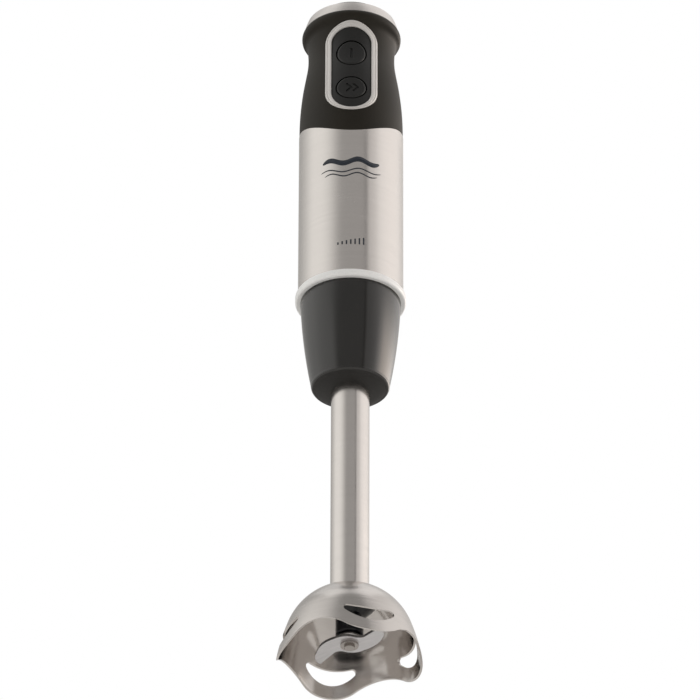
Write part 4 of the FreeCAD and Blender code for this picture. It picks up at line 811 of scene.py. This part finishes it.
class BLENDER_OT_dial(bpy.types.Operator):
    """Makes the domed speed dial with its fluted edge, pointer and row of level dots"""
    bl_idname = "blender_kit.dial"
    bl_label = "Speed dial"

    def execute(self, context):
        top = context.scene.blender_top
        low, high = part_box("speed_dial")
        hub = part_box("cord_gland")[1][0] + 0.55 * MM
        reach, base, crest = high[0], low[2] + 3.8 * MM, high[2]
        skirt, foot, lip = reach - 1.9 * MM, low[2] + 0.4 * MM, base + 0.05 * MM
        # From the crown's inner edge down the hub, under the crown to the skirt, and up over the side.
        outline = rounded([(hub, crest - 0.1 * MM), (hub, foot), (hub + 2.4 * MM, foot),
                           (hub + 2.9 * MM, crest - 3.2 * MM), (skirt - 0.5 * MM, base + 0.9 * MM),
                           (skirt, lip), (reach, lip), (reach - 0.3 * MM, base + 1.1 * MM),
                           (17.2 * MM, crest - 1.1 * MM), (12.0 * MM, crest - 0.15 * MM)],
                          np.array([0.4, 0.3, 0.3, 0.6, 0.3, 0.2, 0.3, 0.9, 6.0, 9.0]) * MM, 9)

        def flutes(angle, radius, height):
            """Flutes cut into the sloped side only: they fade out where it turns into the crown."""
            outer = (radius > skirt - 0.2 * MM) | (height > base + 1.4 * MM)
            side = np.clip((radius - reach + 4.6 * MM) / (1.6 * MM), 0, 1) * outer
            wave = 0.5 - 0.5 * np.cos(angle * top.flutes)
            return -top.flute_depth * side * wave ** 0.6

        dial = turned(outline, 960, flutes)
        add_piece("speed_dial_cap", [dial], "panel_black", "dial", ("speed_dial",))
        ridge = self.ridge(top.pointer, hub + 1.2 * MM, 13.4 * MM, outline)
        count, first, step, smallest, growth = 9, -130, 20, 0.45 * MM, 0.045 * MM
        dots = [self.dot(radians(first + step * number), smallest + growth * number, outline)
                for number in range(count)]
        add_piece("dial_pointer", [ridge], "print_white", "dial", ())
        add_piece("dial_level_dots", dots, "print_white", "dial", ())
        return {"FINISHED"}

    @staticmethod
    def crown_height(radius, outline):
        """Height of the dial's upper face at a radius: its outline's highest point there."""
        depth = 4.2 * MM
        upper = outline[outline[:, 1] > outline[:, 1].max() - depth]
        upper = upper[np.argsort(upper[:, 0])]
        bins = np.unique(np.round(upper[:, 0], 5), return_index=True)[1]
        return np.interp(radius, upper[bins, 0], np.maximum.reduceat(upper[:, 1], bins))

    def ridge(self, width, start, end, outline):
        """The pointer: a low half-round ridge along a radius that faces the buttons, its section closed
        by two more points sunk under its edges."""
        along, across = np.meshgrid(np.linspace(0, 1, 40), np.linspace(-1, 1, 13), indexing="ij")
        radius = start + (end - start) * along
        fade = np.sqrt(np.clip(1 - (2 * along - 1) ** 8, 0, 1))
        x = across * width / 2 * (0.35 + 0.65 * along) * fade
        rise = 0.35 * MM * np.sqrt(np.clip(1 - across ** 2, 0, 1)) * fade
        points = np.stack((x, -radius, self.crown_height(radius, outline) + rise - 0.12 * MM), axis=-1)
        points = np.concatenate((points, points[:, [-1, 0]] - (0.0, 0.0, 0.6 * MM)), axis=1)
        return points.reshape(-1, 3), lattice(*points.shape[:2], False, True)

    def dot(self, angle, size, outline):
        """A raised level dot: a flat dome on the dial's upper face, closed by a flat underside."""
        ring, around = np.meshgrid(np.append(np.linspace(0, 1, 7), 0),
                                   np.linspace(0, 2 * pi, 24, endpoint=False), indexing="ij")
        under = (np.arange(8) == 7)[:, None] * 0.3 * MM
        centre = 14.8 * MM
        x = centre * cos(angle) + size * ring * np.cos(around)
        y = centre * sin(angle) + size * ring * np.sin(around)
        z = self.crown_height(np.hypot(x, y), outline) + 0.14 * MM * (1 - ring ** 2) - 0.02 * MM - under
        return np.stack((x, y, z), axis=-1).reshape(-1, 3), lattice(8, 24, False, True)


class BLENDER_OT_gland(bpy.types.Operator):
    """Makes the cord gland: a tapered, ribbed rubber sleeve round the cord's bore"""
    bl_idname = "blender_kit.gland"
    bl_label = "Cord gland"

    def execute(self, context):
        top = context.scene.blender_top
        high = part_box("cord_gland")[1]
        bore, neck_radius, seat, tip = 3.5 * MM, 5.1 * MM, 6.9 * MM, 4.4 * MM
        crest, edge = high[2], high[2] - 0.02 * MM
        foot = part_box("speed_dial")[1][2] + 0.1 * MM
        rise = np.linspace(0, 1, 60)
        ribs = top.rib * (0.5 - 0.5 * np.cos(rise * 2 * pi * top.ribs)) - top.rib * 0.5
        side = np.stack((seat - 0.9 * MM + (tip - seat + 1.1 * MM) * rise ** 0.7 + ribs,
                         foot + 1.4 * MM + (crest - foot - 2.2 * MM) * rise), axis=-1)
        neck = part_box("speed_dial")[0][2]
        # From the bore out under the neck, up to the flange, along the ribs and over the mouth.
        outline = np.concatenate((
            [(bore, neck), (neck_radius, neck), (neck_radius, foot - 0.2 * MM),
             (seat - 0.2 * MM, foot - 0.2 * MM), (seat, foot), (seat, foot + 0.8 * MM),
             (seat - 0.4 * MM, foot + 1.2 * MM)], side,
            [(tip - 0.1 * MM, crest - 0.35 * MM), (tip - 0.35 * MM, edge), (bore + 0.25 * MM, edge),
             (bore, crest - 0.3 * MM)]))
        add_piece("cord_gland_ribbed", [turned(outline, 128)], "gland_rubber", "motor_unit",
                  ("cord_gland",))
        return {"FINISHED"}


# ---------------------------------------------------------------- finishes and studio

class BLENDER_OT_finishes(bpy.types.Operator):
    """Makes the shared shader groups and every finish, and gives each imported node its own"""
    bl_idname = "blender_kit.finishes"
    bl_label = "Finishes"

    def execute(self, context):
        GROUPS.update(brushed_lines=brushed_lines_group(), ground_lines=ground_lines_group(),
                      moulded_grain=moulded_grain_group(), handling_marks=handling_marks_group(),
                      settled_dust=settled_dust_group(), edge_wear=edge_wear_group(), facing=facing_group())
        make_finishes(context.scene.blender_finishes)
        for finish, nodes in NODE_FINISHES.items():
            for node in nodes:
                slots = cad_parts[node].data.materials
                slots.clear()
                slots.append(FINISHES[finish])
        return {"FINISHED"}


def surround_shader(tree, settings):
    """Pale surround by direction: darker in a gap in front of the buttons, behind the blender, high above
    it and below the floor, with a warm, bright strip low on the right; plain white to the camera."""
    tree.nodes.clear()
    direction = tree.nodes.new("ShaderNodeTexCoord").outputs["Generated"]
    rise = put(tree, "ShaderNodeSeparateXYZ", None, Vector=direction).outputs["Z"]
    level = put(tree, "ShaderNodeVectorMath", {"operation": "MULTIPLY"})
    feed(tree, level.inputs[0], direction)
    feed(tree, level.inputs[1], (1.0, 1.0, 0.0))
    around = put(tree, "ShaderNodeVectorMath", {"operation": "NORMALIZE"})
    feed(tree, around.inputs[0], level.outputs["Vector"])
    x, y, _ = put(tree, "ShaderNodeSeparateXYZ", None, Vector=around.outputs["Vector"]).outputs

    # The gap's left edge is soft where it is high and sharp where it is low.
    high = ramp(tree, rise, 0.33, 0.48)
    left = maths(tree, "MULTIPLY_ADD", ramp(tree, x, -0.74, -0.5), maths(tree, "SUBTRACT", 1.0, high),
                 product(tree, ramp(tree, x, -1.0, -0.3), high))
    front = ramp(tree, y, -0.5, -0.3, 1.0, 0.0)
    shade = product(tree, left, ramp(tree, x, 0.55, 0.65, 1.0, 0.0), front)
    step = product(tree, ramp(tree, x, 0.5, 0.55), ramp(tree, x, 0.74, 1.0, 1.0, 0.0), front,
                   settings.step - 1.0)
    gap = maths(tree, "ADD", maths(tree, "MULTIPLY_ADD", shade, settings.gap - 1.0, 1.0), step)
    corner = product(tree, ramp(tree, x, -0.5, 0.0, 1.0, 0.0), ramp(tree, y, 0.0, 0.65))
    opened = product(tree, gap, settings.surround, ramp(tree, y, 0.5, 1.0, 1.0, settings.rear),
                     maths(tree, "MULTIPLY_ADD", corner, settings.rear - 1.0, 1.0),
                     ramp(tree, rise, -0.14, 0.02, settings.below, 1.0),
                     ramp(tree, rise, 0.7, 1.0, 1.0, settings.upper))
    strip = product(tree, ramp(tree, x, 0.3, 0.6), ramp(tree, rise, 0.0, 0.18), ramp(tree, y, -0.45, 0.1),
                    ramp(tree, rise, 0.34, 0.5, 1.0, 0.0))
    opened = maths(tree, "MULTIPLY_ADD", strip, settings.strip, opened)
    tint = mixed(tree, ramp(tree, x, -1.0, 1.0), (0.99, 0.98, 0.95, 1.0), (1.0, 0.97, 0.945, 1.0))
    tint = mixed(tree, strip, tint, (1.0, 0.89, 0.8, 1.0))
    lit = put(tree, "ShaderNodeBackground", None, Color=tint, Strength=opened).outputs[0]
    white = put(tree, "ShaderNodeBackground", None, Color=solid((1.0, 1.0, 1.0)), Strength=1.0).outputs[0]
    seen = tree.nodes.new("ShaderNodeLightPath").outputs["Is Camera Ray"]
    either_shader(tree, seen, lit, white, tree.nodes.new("ShaderNodeOutputWorld"))


def either_shader(tree, factor, first, second, output):
    """Shows the first shader, or the second where factor is 1."""
    either = tree.nodes.new("ShaderNodeMixShader")
    for socket, value in zip(either.inputs, (factor, first, second)):
        feed(tree, socket, value)
    tree.links.new(either.outputs[0], output.inputs["Surface"])


def floor_finish():
    """Pale floor that shows only its upper face, because the camera stands below it."""
    tree, shader = new_finish("pale_floor", roughness=0.7)
    shade = noise(tree, place(tree)[0], 3.0, 3.0)
    feed(tree, shader.inputs["Base Color"], mixed(tree, shade, (0.80, 0.80, 0.79, 1.0),
                                                  (0.84, 0.84, 0.83, 1.0)))
    clear = tree.nodes.new("ShaderNodeBsdfTransparent").outputs[0]
    below = tree.nodes.new("ShaderNodeNewGeometry").outputs["Backfacing"]
    output = next(node for node in tree.nodes if node.type == "OUTPUT_MATERIAL")
    either_shader(tree, below, shader.outputs[0], clear, output)


def add_light(name, spot, aim, size, radiance, mirrored):
    """A soft area light at spot that shines at aim; size is its width and height in metres. Its power is
    pi * radiance * area. A light that isn't mirrored lights matt surfaces only."""
    lamp = bpy.data.lights.new(name, "AREA")
    lamp.shape = "RECTANGLE"
    lamp.size, lamp.size_y = size
    lamp.energy = pi * radiance * size[0] * size[1]
    light = bpy.data.objects.new(name, lamp)
    light.location = spot
    light.rotation_euler = (Vector(aim) - Vector(spot)).to_track_quat("-Z", "Y").to_euler()
    light.visible_glossy = mirrored
    bpy.context.scene.collection.objects.link(light)


class BLENDER_OT_studio(bpy.types.Operator):
    """Sets up the floor, the surround, the soft lights and the camera below the blender"""
    bl_idname = "blender_kit.studio"
    bl_label = "Studio"

    def execute(self, context):
        studio = context.scene.blender_studio
        reach = studio.floor_reach
        corners = [(x * reach, y * reach, -studio.floor) for x, y in ((-1, -1), (1, -1), (1, 1), (-1, 1))]
        mesh = bpy.data.meshes.new("floor")
        mesh.from_pydata(corners, [], [(0, 1, 2, 3)])
        floor_finish()
        mesh.materials.append(FINISHES["pale_floor"])
        floor = bpy.data.objects.new("floor", mesh)
        context.scene.collection.objects.link(floor)
        world = bpy.data.worlds.new("surround")
        world.use_nodes = True
        surround_shader(world.node_tree, studio)
        context.scene.world = world
        context.scene.view_settings.view_transform = "Standard"
        for name, spot, size, radiance, mirrored in (
                ("right_softbox", (1.25, -0.3, 0.75), (0.5, 1.2), studio.soft, False),
                ("front_fill", (0.0, -1.35, -0.45), (1.7, 0.9), studio.fill, False),
                ("left_softbox", (-1.2, -0.55, 0.62), (0.5, 1.5), studio.soft, False),
                ("top_softbox", (0.0, 0.25, 1.5), (1.2, 1.2), studio.soft, True)):
            add_light(name, spot, (0.0, 0.0, studio.aim), size, radiance, mirrored)
        lens = bpy.data.cameras.new("camera")
        lens.lens, lens.sensor_width = studio.lens, 36.0
        lens.shift_x, lens.shift_y = studio.side, studio.lift
        lens.clip_end = 50.0
        camera = bpy.data.objects.new("camera", lens)
        camera.location = (0.0, -studio.distance * cos(studio.drop),
                           studio.aim - studio.distance * sin(studio.drop))
        camera.rotation_mode = "ZYX"
        camera.rotation_euler = (pi / 2 + studio.drop, 0.0, studio.roll)
        context.scene.collection.objects.link(camera)
        context.scene.camera = camera
        return {"FINISHED"}


class BLENDER_PT_kit(bpy.types.Panel):
    """Lists the blender's pieces, finishes and studio"""
    bl_idname = "BLENDER_PT_kit"
    bl_label = "Immersion blender"
    bl_space_type = "VIEW_3D"
    bl_region_type = "UI"
    bl_category = "Blender"

    def draw(self, context):
        for operator in OPERATORS:
            self.layout.operator(operator.bl_idname)
        for group in SETTINGS:
            box = self.layout.box()
            for name in SETTINGS[group].__annotations__:
                box.prop(getattr(context.scene, group), name)


SETTINGS = {"blender_finishes": BlenderFinishes, "blender_studio": BlenderStudio,
            "blender_keys": BlenderKeys, "blender_marks": BlenderMarks, "blender_top": BlenderTop}
OPERATORS = (BLENDER_OT_finishes, BLENDER_OT_studio, BLENDER_OT_bezel, BLENDER_OT_buttons,
             BLENDER_OT_spacer, BLENDER_OT_marks, BLENDER_OT_dial, BLENDER_OT_gland)


def register():
    """Adds the settings, the operators and the panel."""
    for cls in (*SETTINGS.values(), *OPERATORS, BLENDER_PT_kit):
        bpy.utils.register_class(cls)
    for group, cls in SETTINGS.items():
        setattr(bpy.types.Scene, group, bpy.props.PointerProperty(type=cls))


def unregister():
    """Takes them away again."""
    for group in SETTINGS:
        delattr(bpy.types.Scene, group)
    for cls in reversed((*SETTINGS.values(), *OPERATORS, BLENDER_PT_kit)):
        bpy.utils.unregister_class(cls)


def main():
    """Registers the add-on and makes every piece."""
    register()
    for operator in OPERATORS:
        module, action = operator.bl_idname.split(".")
        getattr(getattr(bpy.ops, module), action)()


if __name__ == "__main__":
    main()
